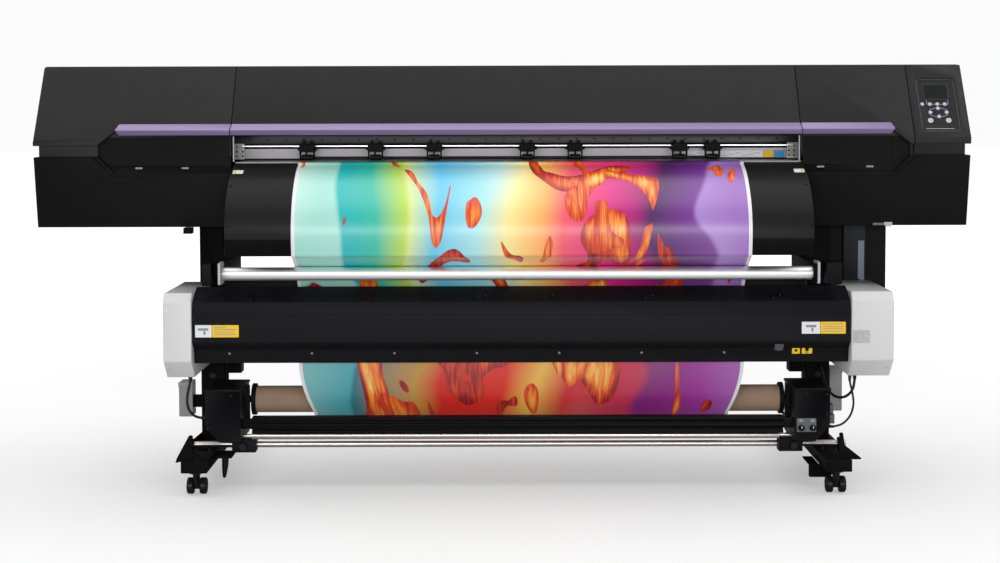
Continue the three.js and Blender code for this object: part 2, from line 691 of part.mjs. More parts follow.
function addMedia() {
  const lift = MEDIA_GAP + MEDIA_THICK / 2;
  const bedZ = BED_TOP + lift;
  const supplyTouch = SUPPLY_RADIUS + lift;
  const rear = beside(guideCurve, GUIDE_THICK / 2 + lift).reverse();
  const front = beside(apronCurve, -lift);
  const wrap = CORE_RADIUS + lift;
  const wound = [];
  for (let i = 0; i <= 6; i += 1) {
    const turn = (i / 6) * (Math.PI / 2);
    wound.push([CORE_Y + wrap * Math.cos(turn), CORE_Z + wrap * Math.sin(turn)]);
  }
  const [edgeY, edgeZ] = front[front.length - 1];
  const roundBar = [75, 50].map((degrees) => [
    TENSION_Y + (TENSION_RADIUS + BAR_GAP) * Math.cos((degrees * Math.PI) / 180),
    TENSION_Z + (TENSION_RADIUS + BAR_GAP) * Math.sin((degrees * Math.PI) / 180),
  ]);
  const behindHood = HOOD_REAR_Y + HOOD_GAP;
  const railBack = RAIL_FACE_Y + RAIL_DEPTH;
  const loopLow = CORE_Z - CORE_RADIUS - LOOP_DROP;
  const hanging = smooth([
    [edgeY, edgeZ], ...roundBar, [behindHood - 4, HOOD_TOP - 8], [behindHood, HOOD_TOP - 50],
    [behindHood, HOOD_BOTTOM + 120], [behindHood, HOOD_BOTTOM], [railBack + 2, RAIL_HIGH + 95],
    [railBack + 32, CORE_Z - 18], [(railBack + CORE_Y) / 2 + 10, loopLow + 14],
    [CORE_Y - 5, loopLow], [CORE_Y + wrap - 8.8, loopLow + 22], wound[0],
  ], 44).slice(1, -1);
  const supply = smooth([
    [SUPPLY_Y + supplyTouch, SUPPLY_Z], [SUPPLY_Y + supplyTouch - 8, SUPPLY_Z + 100],
    [GUIDE_END[0] + 45, GUIDE_END[1] - 90], rear[0],
  ], 10).slice(0, -1);
  const path = [...supply, ...rear, [BED_FRONT_Y - SEAM, bedZ], ...front.slice(1), ...hanging, ...wound];
  const half = MEDIA_THICK / 2;
  addPart('media_sheet', prismX(sheetSection(path, half, -half), MEDIA_LEFT, MEDIA_RIGHT), vinyl);
}

// ---------------------------------------------------------------- beam, carriage, pinch rollers

const railLow = BED_TOP + RAIL_LIFT;

function addMainFrame() {
  const section = [
    [FRAME_FRONT_Y, FRAME_BOTTOM], [FRAME_REAR_Y, FRAME_BOTTOM],
    [FRAME_REAR_Y, BED_TOP - BED_THICK - SEAT - 60], [BED_REAR_Y, BED_TOP - BED_THICK - SEAT],
    [FRAME_FRONT_Y, BED_TOP - BED_THICK - SEAT],
  ];
  let frame = prismX(section, FRAME_LEFT, FRAME_RIGHT).subtract(prismX(inset(section, FRAME_WALL), -FAR, FAR));
  for (const x of [FRAME_LEFT, FRAME_RIGHT - TOWER_THICK]) {
    frame = frame.add(box([x, x + TOWER_THICK], [FRAME_FRONT_Y, RAIL_REAR_Y],
      [BED_TOP - BED_THICK - FRAME_WALL, railLow - SEAT]));
  }
  addPart('main_frame', frame, frameBlack);
}

function addCarriageRail() {
  const section = [
    [RAIL_FRONT_Y, railLow], [RAIL_FRONT_Y, RAIL_TOP], [RAIL_REAR_Y, RAIL_TOP], [RAIL_REAR_Y, railLow],
  ];
  const beam = prismX(section, RAIL_LEFT, RAIL_RIGHT).subtract(prismX(inset(section, RAIL_WALL), -FAR, FAR));
  const guide = box([RAIL_LEFT, RAIL_RIGHT], [RAIL_FRONT_Y - GUIDE_PROUD, RAIL_FRONT_Y + 1],
    [GUIDE_LOW, GUIDE_HIGH]);
  addPart('carriage_rail', beam.add(guide), aluminium);
}

function addCarriage() {
  const half = CARRIAGE_WIDTH / 2;
  const body = box([CARRIAGE_HOME_X - half, CARRIAGE_HOME_X + half],
    [CARRIAGE_FRONT_Y, RAIL_FRONT_Y - GUIDE_PROUD - SEAM], [CARRIAGE_LOW, CARRIAGE_TOP]);
  const head = box([CARRIAGE_HOME_X - half + HEAD_MARGIN, CARRIAGE_HOME_X + half - HEAD_MARGIN],
    [HEAD_FRONT_Y, HEAD_REAR_Y], [HEAD_LOW, HEAD_TOP]);
  addPart('carriage', body.add(head), frameBlack);
}

function addPinchRollers() {
  const rollerZ = BED_TOP + MEDIA_GAP + MEDIA_THICK + SEAT + PINCH_RADIUS;
  const ends = [PINCH_X[0] - ARM_WIDTH / 2, PINCH_X[PINCH_X.length - 1] + ARM_WIDTH / 2];
  let bank = box(ends, [ARM_REAR_Y - ARM_BAR, ARM_REAR_Y], [ARM_TOP - ARM_BAR, ARM_TOP]);
  let rollers = rodX([ends[0] + 1, ends[1] - 1], GRIT_Y, rollerZ, PINCH_SHAFT_RADIUS, 12);
  for (const x of PINCH_X) {
    const [x0, x1] = [x - ARM_WIDTH / 2, x + ARM_WIDTH / 2];
    bank = bank.add(box([x0, x1], [ARM_FRONT_Y, ARM_REAR_Y], [ARM_LOW, ARM_TOP]));
    for (const side of [x0, x1 - ARM_WALL]) {
      const prong = [[-162, ARM_LOW + 1], [-128, ARM_LOW + 1], [-136, rollerZ - 6], [-154, rollerZ - 6]];
      bank = bank.add(prismX(prong, side, side + ARM_WALL));
    }
    rollers = rollers.add(rodX([x - PINCH_WIDTH / 2, x + PINCH_WIDTH / 2], GRIT_Y, rollerZ, PINCH_RADIUS, COARSE));
  }
  bank = bank.subtract(rodX([-FAR, FAR], GRIT_Y, rollerZ, PINCH_SHAFT_RADIUS + RUNNING, 12));
  addPart('pinch_arm_bank', bank, rubber);
  addPart('pinch_rollers', rollers, aluminium);
}

// ---------------------------------------------------------------- stand

// One leg, for side -1 (left) or 1 (right): pillar, foot beam, brackets for the bars and the hood
function leg(side, pillarX, tensionEnd, hoodBracketX) {
  const half = PILLAR_WIDTH / 2;
  const pillar = box([pillarX - half, pillarX + half], [-PILLAR_DEPTH / 2, PILLAR_DEPTH / 2],
    [BEAM_TOP - 1, FRAME_BOTTOM - SEAT]);
  const bore = box([pillarX - half + FRAME_WALL, pillarX + half - FRAME_WALL],
    [-PILLAR_DEPTH / 2 + FRAME_WALL, PILLAR_DEPTH / 2 - FRAME_WALL], [BEAM_TOP, HEIGHT]);
  const beamX = [pillarX - BEAM_WIDTH / 2, pillarX + BEAM_WIDTH / 2];
  const beam = box(beamX, [-BEAM_HALF_LENGTH, BEAM_HALF_LENGTH], [BEAM_LOW, BEAM_TOP]);
  const channelEnd = BEAM_HALF_LENGTH - BEAM_END_BLOCK;
  const channel = box([beamX[0] + FRAME_WALL, beamX[1] - FRAME_WALL], [-channelEnd, channelEnd],
    [0, BEAM_TOP - FRAME_WALL]);
  const outerEdge = side < 0 ? beamX[0] : beamX[1];
  const innerEdge = side < 0 ? beamX[1] : beamX[0];
  const reach = (edge, distance) => (distance < 0 ? [edge + distance, edge + 1] : [edge - 1, edge + distance]);
  const outerFlange = box(reach(outerEdge, side * FLANGE_REACH), [-FLANGE_HALF_LENGTH, FLANGE_HALF_LENGTH],
    [BEAM_LOW + 4, BEAM_LOW + 4 + FLANGE_THICK]);
  const innerFlange = box(reach(innerEdge, -side * FLANGE_REACH), [-2 * FLANGE_REACH, 2 * FLANGE_REACH],
    [BEAM_TOP - FLANGE_THICK, BEAM_TOP]);

  const earX = side < 0 ? [beamX[0], beamX[0] + EAR_THICK] : [beamX[1] - EAR_THICK, beamX[1]];
  const ear = box(earX, [SLIDE_BAR_Y - EAR_HALF_DEPTH, SLIDE_BAR_Y + EAR_HALF_DEPTH], [BEAM_TOP - 1, EAR_TOP]);
  const slideBore = rodX([-FAR, FAR], SLIDE_BAR_Y, SLIDE_BAR_Z, SLIDE_BAR_RADIUS + RUNNING);

  const armEnd = tensionEnd + side * (SEAM + TENSION_ARM_THICK);
  const armX = side < 0 ? [armEnd, tensionEnd - SEAM] : [tensionEnd + SEAM, armEnd];
  const armZ = [TENSION_Z - TENSION_ARM_HALF_HEIGHT, TENSION_Z + TENSION_ARM_HALF_HEIGHT];
  const arm = box(armX, [TENSION_Y - ARM_NOSE, 0], armZ);
  const crossX = side < 0 ? [pillarX, armX[1]] : [armX[0], pillarX];
  const cross = box(crossX, [-PILLAR_DEPTH / 2, -PILLAR_DEPTH / 2 + 3 * FRAME_WALL], armZ);
  const journal = rodX([-FAR, FAR], TENSION_Y, TENSION_Z, TENSION_JOURNAL + RUNNING);

  const hoodBracket = box(hoodBracketX, [HOOD_REAR_Y + SEAT, -PILLAR_DEPTH / 2 + 1],
    [HOOD_BRACKET_LOW, HOOD_BRACKET_HIGH]);
  return pillar.add(beam).add(cross).subtract(channel).subtract(bore)
    .add(outerFlange).add(innerFlange).add(ear.subtract(slideBore))
    .add(arm.subtract(journal)).add(hoodBracket);
}

function addStand() {
  const left = leg(-1, LEFT_PILLAR_X, TENSION_LEFT, [LEFT_END_COVER[1] + SEAT, LEFT_END_COVER[1] + 30]);
  addPart('left_leg', left, frameBlack);
  const right = leg(1, RIGHT_PILLAR_X, TENSION_RIGHT, [RIGHT_END_COVER[0] - 70, RIGHT_END_COVER[0] - 45]);
  const coverTab = box([RIGHT_PILLAR_X, RIGHT_END_COVER[0] - SEAT], [-2 * PILLAR_DEPTH, -PILLAR_DEPTH / 2 + 1],
    [HOOD_BRACKET_LOW - 60, HOOD_BRACKET_LOW]);
  addPart('right_leg', right.add(coverTab), frameBlack);
}

// The cross tube between the legs, with the two arms that hold the supply roll and two hanging posts
function addStretcher() {
  const half = PILLAR_WIDTH / 2 + SEAT;
  const ends = [LEFT_PILLAR_X + half, RIGHT_PILLAR_X - half];
  const depth = [-STRETCHER_HALF_DEPTH, STRETCHER_HALF_DEPTH];
  let stretcher = box(ends, depth, [STRETCHER_LOW, STRETCHER_HIGH]);
  for (const x of [ends[0] + 8, ends[1] - 8 - POST_WIDTH]) {
    stretcher = stretcher.add(box([x, x + POST_WIDTH], depth, [POST_LOW, STRETCHER_LOW + 1]));
  }
  const bore = box([ends[0] - 1, ends[1] + 1], depth.map((y) => y - Math.sign(y) * FRAME_WALL),
    [STRETCHER_LOW + FRAME_WALL, STRETCHER_HIGH - FRAME_WALL]);
  stretcher = stretcher.subtract(bore);
  const armOutline = [
    [STRETCHER_HALF_DEPTH - 1, STRETCHER_LOW], [DEPTH / 2 - 60, SUPPLY_Z - 70], [DEPTH / 2, SUPPLY_Z - 10],
    [DEPTH / 2, SUPPLY_Z + 30], [SUPPLY_Y - 60, SUPPLY_Z + 50], [STRETCHER_HALF_DEPTH - 1, STRETCHER_HIGH],
  ];
  const armLeft = MEDIA_LEFT - HOLDER_GAP - HOLDER_THICK;
  const armRight = MEDIA_RIGHT + HOLDER_GAP;
  for (const x of [armLeft, armRight]) {
    stretcher = stretcher.add(prismX(armOutline, x, x + HOLDER_THICK));
  }
  const stubs = [
    [armLeft + 1, armLeft + HOLDER_THICK + STUB_LENGTH], [armRight - STUB_LENGTH, armRight + HOLDER_THICK - 1],
  ];
  for (const xs of stubs) {
    stretcher = stretcher.add(rodX(xs, SUPPLY_Y, SUPPLY_Z, HOLDER_STUB, FINE));
  }
  addPart('rear_stretcher', stretcher, frameBlack);
  const roll = rodX([MEDIA_LEFT, MEDIA_RIGHT], SUPPLY_Y, SUPPLY_Z, SUPPLY_RADIUS, FINE)
    .subtract(rodX([-FAR, FAR], SUPPLY_Y, SUPPLY_Z, HOLDER_STUB + RUNNING, FINE));
  addPart('supply_roll', roll, white);
}

// ---------------------------------------------------------------- casters

function addCasters() {
  const sides = [['left', LEFT_PILLAR_X], ['right', RIGHT_PILLAR_X]];
  const ends = [['front', -CASTER_Y], ['rear', CASTER_Y]];
  const wheelFrom = WHEEL_PAIR_WIDTH / 2 - WHEEL_WIDTH;
  const webHalf = wheelFrom - SEAM;
  for (const [side, x] of sides) {
    for (const [end, y] of ends) {
      const group = new THREE.Group();
      group.position.set(x, y, 0);
      machine.add(group);
      const plateLow = BEAM_LOW - SEAT - CASTER_PLATE_THICK;
      const web = prismX([
        [-CASTER_PLATE_RADIUS + 6, plateLow + 1], [CASTER_PLATE_RADIUS - 4, plateLow + 1],
        [CASTER_TRAIL + 10, WHEEL_RADIUS - 10], [CASTER_TRAIL - 10, WHEEL_RADIUS - 10],
      ], -webHalf, webHalf);
      const fork = web.add(rodZ(0, 0, [plateLow, BEAM_LOW - SEAT], CASTER_PLATE_RADIUS))
        .subtract(rodX([-FAR, FAR], CASTER_TRAIL, WHEEL_RADIUS, AXLE_RADIUS + RUNNING, COARSE));
      addPart(`${side}_${end}_caster_fork`, fork, frameBlack, group);

      let pair = rodX([-wheelFrom - 1, wheelFrom + 1], CASTER_TRAIL, WHEEL_RADIUS, AXLE_RADIUS, COARSE);
      for (const from of [-WHEEL_PAIR_WIDTH / 2, wheelFrom]) {
        const tread = [from + WHEEL_ROUND, from + WHEEL_WIDTH - WHEEL_ROUND];
        pair = pair.add(rodX(tread, CASTER_TRAIL, WHEEL_RADIUS, WHEEL_RADIUS))
          .add(rodX([from, from + WHEEL_WIDTH], CASTER_TRAIL, WHEEL_RADIUS, WHEEL_RADIUS - WHEEL_ROUND));
      }
      addPart(`${side}_${end}_caster_wheels`, pair, rubber, group);
    }
  }
}

// ---------------------------------------------------------------- tension bar, hood

function addTensionBar() {
  const journal = [TENSION_LEFT - TENSION_ARM_THICK + 1, TENSION_RIGHT + TENSION_ARM_THICK - 1];
  addPart('tension_bar', rodX([TENSION_LEFT, TENSION_RIGHT], TENSION_Y, TENSION_Z, TENSION_RADIUS, FINE)
    .add(rodX(journal, TENSION_Y, TENSION_Z, TENSION_JOURNAL)), aluminium);
}

function addHood() {
  const section = [
    [HOOD_REAR_Y, HOOD_TOP], [HOOD_FRONT_Y + 10, HOOD_TOP - 42], [HOOD_FRONT_Y, HOOD_TOP - 77],
    [HOOD_FRONT_Y, HOOD_BOTTOM + 73], [HOOD_FRONT_Y + 30, HOOD_BOTTOM + 46],
    [HOOD_FRONT_Y + 40, HOOD_BOTTOM], [HOOD_REAR_Y, HOOD_BOTTOM],
  ];
  addPart('slitter_hood', prismX(section, HOOD_LEFT, HOOD_RIGHT)
    .subtract(prismX(inset(section, HOOD_WALL), -FAR, FAR)), frameBlack);

  const cover = [
    [END_COVER_FRONT_Y, END_COVER_LOW + 60], [END_COVER_FRONT_Y, END_COVER_TOP - 28],
    [END_COVER_FRONT_Y + 22, END_COVER_TOP], [END_COVER_REAR_Y, END_COVER_TOP],
    [END_COVER_REAR_Y, END_COVER_LOW], [END_COVER_FRONT_Y + 60, END_COVER_LOW],
  ];
  const hollow = inset(cover, HOOD_WALL);
  hollow[3][0] = FAR;
  hollow[4][0] = FAR;
  for (const [name, [x0, x1]] of [['hood_left_cover', LEFT_END_COVER], ['hood_right_cover', RIGHT_END_COVER]]) {
    addPart(name, prismX(cover, x0, x1).subtract(prismX(hollow, x0 + HOOD_WALL, x1 - HOOD_WALL)), white);
  }
}

// ---------------------------------------------------------------- take-up unit

// A housing for side -1 (left) or 1 (right), with its clamp round the slide bar and its two bearings
function takeupHousing(side, [x0, x1]) {
  const [outer, inner] = side < 0 ? [x0, x1] : [x1, x0];
  const outline = [
    [outer, HOUSING_TOP], [inner, HOUSING_TOP], [inner, HOUSING_LOW],
    [outer - side * HOUSING_TAPER_X, HOUSING_LOW], [outer, HOUSING_LOW + HOUSING_TAPER_Z],
  ];
  const body = prismY(outline, HOUSING_FRONT_Y, HOUSING_REAR_Y);
  const lip = box([x0 - LIP, x1 + LIP], [HOUSING_FRONT_Y - LIP, HOUSING_REAR_Y + LIP],
    [HOUSING_TOP - LIP_HEIGHT, HOUSING_TOP]);
  const clampInner = inner - side * (CLAMP_LENGTH / 2);
  const clampOuter = inner + side * (CLAMP_LENGTH / 2);
  const clampX = side < 0 ? [clampOuter, clampInner] : [clampInner, clampOuter];
  const depth = [SLIDE_BAR_Y - CLAMP_HALF_DEPTH, SLIDE_BAR_Y + CLAMP_HALF_DEPTH];
  const clamp = box(clampX, depth, [CLAMP_LOW, CLAMP_TOP]);
  const neckX = side < 0 ? [clampOuter, inner] : [inner, clampOuter];
  const neck = box(neckX, depth, [CLAMP_TOP - 1, HOUSING_LOW + 1]);
  const into = (depthIn) => (side < 0 ? [inner - depthIn, inner + 1] : [inner - 1, inner + depthIn]);
  return body.add(lip).add(clamp).add(neck)
    .subtract(rodX([-FAR, FAR], SLIDE_BAR_Y, SLIDE_BAR_Z, SLIDE_BAR_RADIUS + RUNNING))
    .subtract(rodX(into(SPINDLE_DEPTH + SEAM), CORE_Y, CORE_Z, SPINDLE_RADIUS + RUNNING))
    .subtract(rodX(into(SPINDLE_DEPTH + SEAM), TURN_BAR_Y, TURN_BAR_Z, JOURNAL_RADIUS + RUNNING));
}

// A flange for side -1 or 1: disc against the core's end, hub inside it, spindle into the housing
function coreFlange(side, coreEnd, housingFace) {
  const span = (a, b) => (a < b ? [a, b] : [b, a]);
  const discFace = coreEnd + side * SEAT;
  const discBack = discFace + side * FLANGE_DISC;
  const disc = rodX(span(discFace, discBack), CORE_Y, CORE_Z, FLANGE_RADIUS);
  const hub = rodX(span(discBack, discFace - side * HUB_DEPTH), CORE_Y, CORE_Z, CORE_BORE - RUNNING);
  const spindle = rodX(span(discFace, housingFace + side * SPINDLE_DEPTH), CORE_Y, CORE_Z, SPINDLE_RADIUS);
  return disc.add(hub).add(spindle);
}

function addTakeup() {
  addPart('left_takeup_housing', takeupHousing(-1, LEFT_HOUSING), frameBlack);
  addPart('right_takeup_housing', takeupHousing(1, RIGHT_HOUSING), frameBlack);
  addPart('left_core_flange', coreFlange(-1, CORE_LEFT, LEFT_HOUSING[1]), frameBlack);
  addPart('right_core_flange', coreFlange(1, CORE_RIGHT, RIGHT_HOUSING[0]), frameBlack);
  const bore = rodX([-FAR, FAR], CORE_Y, CORE_Z, CORE_BORE, FINE);
  addPart('takeup_core', rodX([CORE_LEFT, CORE_RIGHT], CORE_Y, CORE_Z, CORE_RADIUS, FINE).subtract(bore), kraft);

  addPart('takeup_slide_bar', rodX([SLIDE_BAR_LEFT, SLIDE_BAR_RIGHT], SLIDE_BAR_Y, SLIDE_BAR_Z,
    SLIDE_BAR_RADIUS), chrome);
  const journal = [LEFT_HOUSING[1] - SPINDLE_DEPTH, RIGHT_HOUSING[0] + SPINDLE_DEPTH];
  addPart('takeup_turn_bar', rodX([TURN_BAR_LEFT, TURN_BAR_RIGHT], TURN_BAR_Y, TURN_BAR_Z, TURN_BAR_RADIUS)
    .add(rodX(journal, TURN_BAR_Y, TURN_BAR_Z, JOURNAL_RADIUS)), chrome);
  addTakeupRail();
  KNOB_X.forEach((x, i) => {
    const knob = new THREE.CylinderGeometry(KNOB_RADIUS, KNOB_RADIUS, KNOB_LENGTH, COARSE);
    const grip = box([-2, 2], [-KNOB_LENGTH / 2 - 4, 0], [-KNOB_RADIUS + 1, KNOB_RADIUS - 1]);
    const mesh = addPart(`takeup_switch_${i + 1}`, solidOf(knob).add(grip), keyGrey);
    mesh.position.set(x, HOUSING_FRONT_Y - SEAT - KNOB_LENGTH / 2, KNOB_Z);
  });
}

// The grooved extrusion in front of the winding media, with a tongue at each end to reach the housings
function addTakeupRail() {
  const back = RAIL_FACE_Y + RAIL_DEPTH;
  const step = (RAIL_HIGH - RAIL_LOW) / 5;
  const grooved = [[back, RAIL_LOW], [back, RAIL_HIGH]];
  for (let i = 5; i > 0; i -= 1) {
    const y = i % 2 ? RAIL_FACE_Y : RAIL_FACE_Y + RAIL_GROOVE;
    grooved.push([y, RAIL_LOW + i * step], [y, RAIL_LOW + (i - 1) * step]);
  }
  const hollow = box([-FAR, FAR], [RAIL_FACE_Y + 3 * RAIL_GROOVE, back - RAIL_GROOVE],
    [RAIL_LOW + RAIL_GROOVE, RAIL_HIGH - RAIL_GROOVE]);
  const body = prismX(grooved, CORE_LEFT + 4, CORE_RIGHT - 7).subtract(hollow);
  const tongueX = [LEFT_HOUSING[1] + SEAT, RIGHT_HOUSING[0] - SEAT];
  const tongue = box(tongueX, [back - RAIL_GROOVE - 1, back], [RAIL_LOW + 10, RAIL_HIGH - 10]);
  addPart('takeup_rail', body.add(tongue), frameBlack);
}

// ---------------------------------------------------------------- tank and cables

function addTank() {
  const { left, right, front, rear, low } = TANK;
  const top = LOWER_BOTTOM - SEAT;
  const hollow = box([left + WALL, right - WALL], [front + WALL, rear - WALL], [low + WALL, HEIGHT]);
  addPart('waste_ink_tank', box([left, right], [front, rear], [low, top]).subtract(hollow), tankBlack);
}

function cable(name, route, radius, steps) {
  const path = new THREE.CatmullRomCurve3(route.map((p) => new THREE.Vector3(...p)));
  const section = new THREE.Shape();
  for (let i = 0; i < 8; i += 1) {
    const turn = (i / 8) * 2 * Math.PI;
    const corner = [radius * Math.cos(turn), radius * Math.sin(turn)];
    if (i === 0) section.moveTo(...corner);
    else section.lineTo(...corner);
  }
  const tube = new THREE.ExtrudeGeometry(section, { steps, extrudePath: path, bevelEnabled: false });
  addPart(name, solidOf(tube), rubber);
}

function addCables() {
  const coverLow = END_COVER_LOW - SEAT;
  cable('right_motor_cable', [
    [1170, -300, coverLow], [1170, -300, 358], [1165, -290, 325], [1148, -260, 298], [1126, -215, 290],
    [1110, -160, 305], [1104, -110, 340], [1104, -75, 361], [1104, -PILLAR_DEPTH / 2 - 2 * SEAT, 363],
  ], THICK_CABLE, 16);
  cable('right_signal_cable', [
    [1146, -340, coverLow], [1147, -340, 360], [1156, -335, 325], [1162, -326, 285], [1155, -312, 245],
    [1135, -296, 215], [1110, -285, 203], [RIGHT_HOUSING[1] + 2 * SEAT, -284, 202],
  ], THIN_CABLE, 18);
  cable('left_motor_cable', [
    [-1036, -310, coverLow], [-1037, -310, 362], [-1045, -306, 330], [-1050, -300, 296], [-1046, -290, 265],
    [-1030, -278, 242], [-1008, -271, 234], [LEFT_HOUSING[0] - 2 * SEAT, -270, 234],
  ], THICK_CABLE, 14);
}

// ---------------------------------------------------------------- assembly

addUpperCovers();
addControlPanel();
addLowerCovers();
addRearCover();
addFrontCover();
addTrim();
addMainFrame();
addBed();
addApron();
addMedia();
addCarriageRail();
addCarriage();
addPinchRollers();
addStand();
addStretcher();
addCasters();
addTensionBar();
addHood();
addTakeup();
addTank();
addCables();

export default machine;
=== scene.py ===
import json
import math

import bmesh
import bpy
import numpy as np
from mathutils.bvhtree import BVHTree
from bpy.props import FloatProperty, FloatVectorProperty, IntProperty, PointerProperty
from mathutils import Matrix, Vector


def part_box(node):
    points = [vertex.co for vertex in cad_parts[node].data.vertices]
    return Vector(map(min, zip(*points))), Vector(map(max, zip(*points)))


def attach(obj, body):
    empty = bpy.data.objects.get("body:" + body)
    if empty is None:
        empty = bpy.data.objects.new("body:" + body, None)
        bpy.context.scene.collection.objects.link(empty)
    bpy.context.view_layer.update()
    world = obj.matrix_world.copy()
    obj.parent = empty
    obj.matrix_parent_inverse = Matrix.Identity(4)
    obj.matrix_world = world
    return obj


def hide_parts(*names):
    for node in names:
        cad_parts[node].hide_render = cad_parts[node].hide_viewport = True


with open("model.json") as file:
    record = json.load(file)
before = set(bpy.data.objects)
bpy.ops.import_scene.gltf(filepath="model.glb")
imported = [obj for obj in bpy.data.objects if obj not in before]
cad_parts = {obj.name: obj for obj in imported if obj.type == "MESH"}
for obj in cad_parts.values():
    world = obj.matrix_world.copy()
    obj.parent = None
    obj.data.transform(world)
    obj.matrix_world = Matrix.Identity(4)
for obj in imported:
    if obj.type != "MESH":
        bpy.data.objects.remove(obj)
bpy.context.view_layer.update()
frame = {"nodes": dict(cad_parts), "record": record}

bl_info = {
    "name": "Wide-Format Printer Cutter",
    "version": (1, 0, 0),
    "blender": (4, 5, 0),
    "location": "3D View > Sidebar > Printer Cutter",
    "description": "Builds the shells, rollers, media, take-up unit and finishes of a printer cutter",
    "category": "Object",
}

NODES = frame["nodes"]
BODY_OF = {node: name for name, members in frame["record"]["behaviour"]["bodies"].items() for node in members}
MAIN = "machine"


# ------------------------------------------------------------------ places read from the frame

def corners(*names):
    """Lowest and highest corner of the box round some nodes, as two arrays."""
    boxes = [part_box(name) for name in names]
    low = np.min([np.array(low) for low, _ in boxes], axis=0)
    high = np.max([np.array(high) for _, high in boxes], axis=0)
    return low, high


def centre(name):
    """Middle of the box round a node."""
    low, high = corners(name)
    return (low + high) / 2


NOSE_Y = corners("left_upper_cover")[0][1]
TOP_Z = corners("left_upper_cover")[1][2]
NOSE_TOP_Z = 1.165  # where the upright nose of the covers turns into their sloping face
TOP_FRONT_Y = -0.145  # where the sloping face meets the flat top
RECESS_Y = -0.268  # the set-back face under the upper covers
APRON_SHADE_LINE = 0.849  # height where the apron turns under, below which shade is painted on it
LEGS = (("left_leg", -1.007), ("right_leg", 1.096))  # each leg and the X of its middle
SLOPE = (TOP_FRONT_Y - NOSE_Y) / (TOP_Z - NOSE_TOP_Z)
LEAN = math.hypot(1, SLOPE)
UP_SLOPE = np.array([0, SLOPE, 1]) / LEAN
OFF_SLOPE = np.array([0, -1, SLOPE]) / LEAN
BED_LOW, BED_HIGH = corners("platen")
APRON_LOW, APRON_HIGH = corners("front_apron")
HOOD_LOW, HOOD_HIGH = corners("slitter_hood")
CORE_LOW, CORE_HIGH = corners("takeup_core")
CORE = centre("takeup_core")
CORE_RADIUS = (CORE_HIGH[2] - CORE_LOW[2]) / 2
MEDIA_LOW, MEDIA_HIGH = corners("media_sheet")


TREES = {}  # search trees over nodes that have been looked up


def surface(node, x, z, back=False):
    """Where a line along Y through this X and Z meets a node, from the front or the back, and the normal."""
    if node not in TREES:
        mesh = NODES[node].data
        TREES[node] = BVHTree.FromPolygons([v.co.copy() for v in mesh.vertices],
                                           [tuple(p.vertices) for p in mesh.polygons])
    way = -1 if back else 1
    point, normal, _, _ = TREES[node].ray_cast((x, -2.0 * way, z), (0, way, 0))
    if point is None:
        raise RuntimeError(f"{node}: nothing at X {x}, Z {z}")
    return np.array(point), np.array(normal)


def lying_on(node, x, z, back=False):
    """The place and the three axes of a flat thing stuck to a node: across, up the face and out of it."""
    point, n = surface(node, x, z, back)
    u = np.array([1.0, 0, 0])
    v = np.cross(n, u)
    v /= np.linalg.norm(v)
    if v[2] < 0:
        u, v = -u, -v
    return point, (u, v, n)


# ------------------------------------------------------------------ forms: points and faces

def joined(*forms):
    """Several forms as one."""
    points, faces, start = [], [], 0
    for some_points, some_faces in forms:
        points.append(some_points)
        faces.extend(tuple(i + start for i in face) for face in some_faces)
        start += len(some_points)
    return np.concatenate(points), faces


def loft(rings):
    """Closed rings of points, each joined to the next by quads, with a face on both ends."""
    rings = np.asarray(rings, float)
    rows, count = rings.shape[:2]
    row, col = np.meshgrid(np.arange(rows - 1), np.arange(count), indexing="ij")
    beside = (col + 1) % count
    quads = np.stack([row * count + col, row * count + beside,
                      (row + 1) * count + beside, (row + 1) * count + col], axis=-1).reshape(-1, 4)
    faces = [tuple(quad) for quad in quads.tolist()]
    faces.append(tuple(range(count - 1, -1, -1)))
    faces.append(tuple(range((rows - 1) * count, rows * count)))
    return rings.reshape(-1, 3), faces


def rounded(outline, radius, steps=4):
    """An outline with each corner replaced by a quadratic curve that starts and ends one radius from it."""
    points = np.asarray(outline, float)
    before, after = np.roll(points, 1, axis=0) - points, np.roll(points, -1, axis=0) - points
    reach_before = np.minimum(radius, 0.45 * np.linalg.norm(before, axis=1))[:, None]
    reach_after = np.minimum(radius, 0.45 * np.linalg.norm(after, axis=1))[:, None]
    start = points + before / np.linalg.norm(before, axis=1)[:, None] * reach_before
    end = points + after / np.linalg.norm(after, axis=1)[:, None] * reach_after
    t = np.linspace(0, 1, steps + 1)[None, :, None]
    curve = (1 - t) ** 2 * start[:, None] + 2 * t * (1 - t) * points[:, None] + t ** 2 * end[:, None]
    return curve.reshape(-1, 2)


def shrunk(outline, distance):
    """An outline with each point moved inwards, along the mean of the normals of its two sides."""
    points = np.asarray(outline, float)
    side = np.roll(points, -1, axis=0) - points
    area = np.sum(points[:, 0] * np.roll(points[:, 1], -1) - points[:, 1] * np.roll(points[:, 0], -1))
    normal = np.stack([-side[:, 1], side[:, 0]], axis=1) * np.sign(area)
    normal /= np.linalg.norm(normal, axis=1)[:, None] + 1e-12
    mean = normal + np.roll(normal, 1, axis=0)
    length = np.linalg.norm(mean, axis=1)[:, None]
    return points + mean / (length + 1e-9) * distance / np.clip(length / 2, 0.5, 1)


AXES = {"X": ((0, 1, 0), (0, 0, 1), (1, 0, 0)), "Y": ((1, 0, 0), (0, 0, 1), (0, 1, 0)),
        "Z": ((1, 0, 0), (0, 1, 0), (0, 0, 1)), "SLOPE": ((1, 0, 0), tuple(UP_SLOPE), tuple(OFF_SLOPE))}
SLOPE_ORIGIN = np.array([0, NOSE_Y, NOSE_TOP_Z])


def slope_v(z):
    """How far up the slope a height lies."""
    return (z - NOSE_TOP_Z) * LEAN


def axes_of(axis):
    """Two directions across and one along, from an axis name or already as three vectors."""
    return [np.array(a, float) for a in (AXES[axis] if isinstance(axis, str) else axis)]


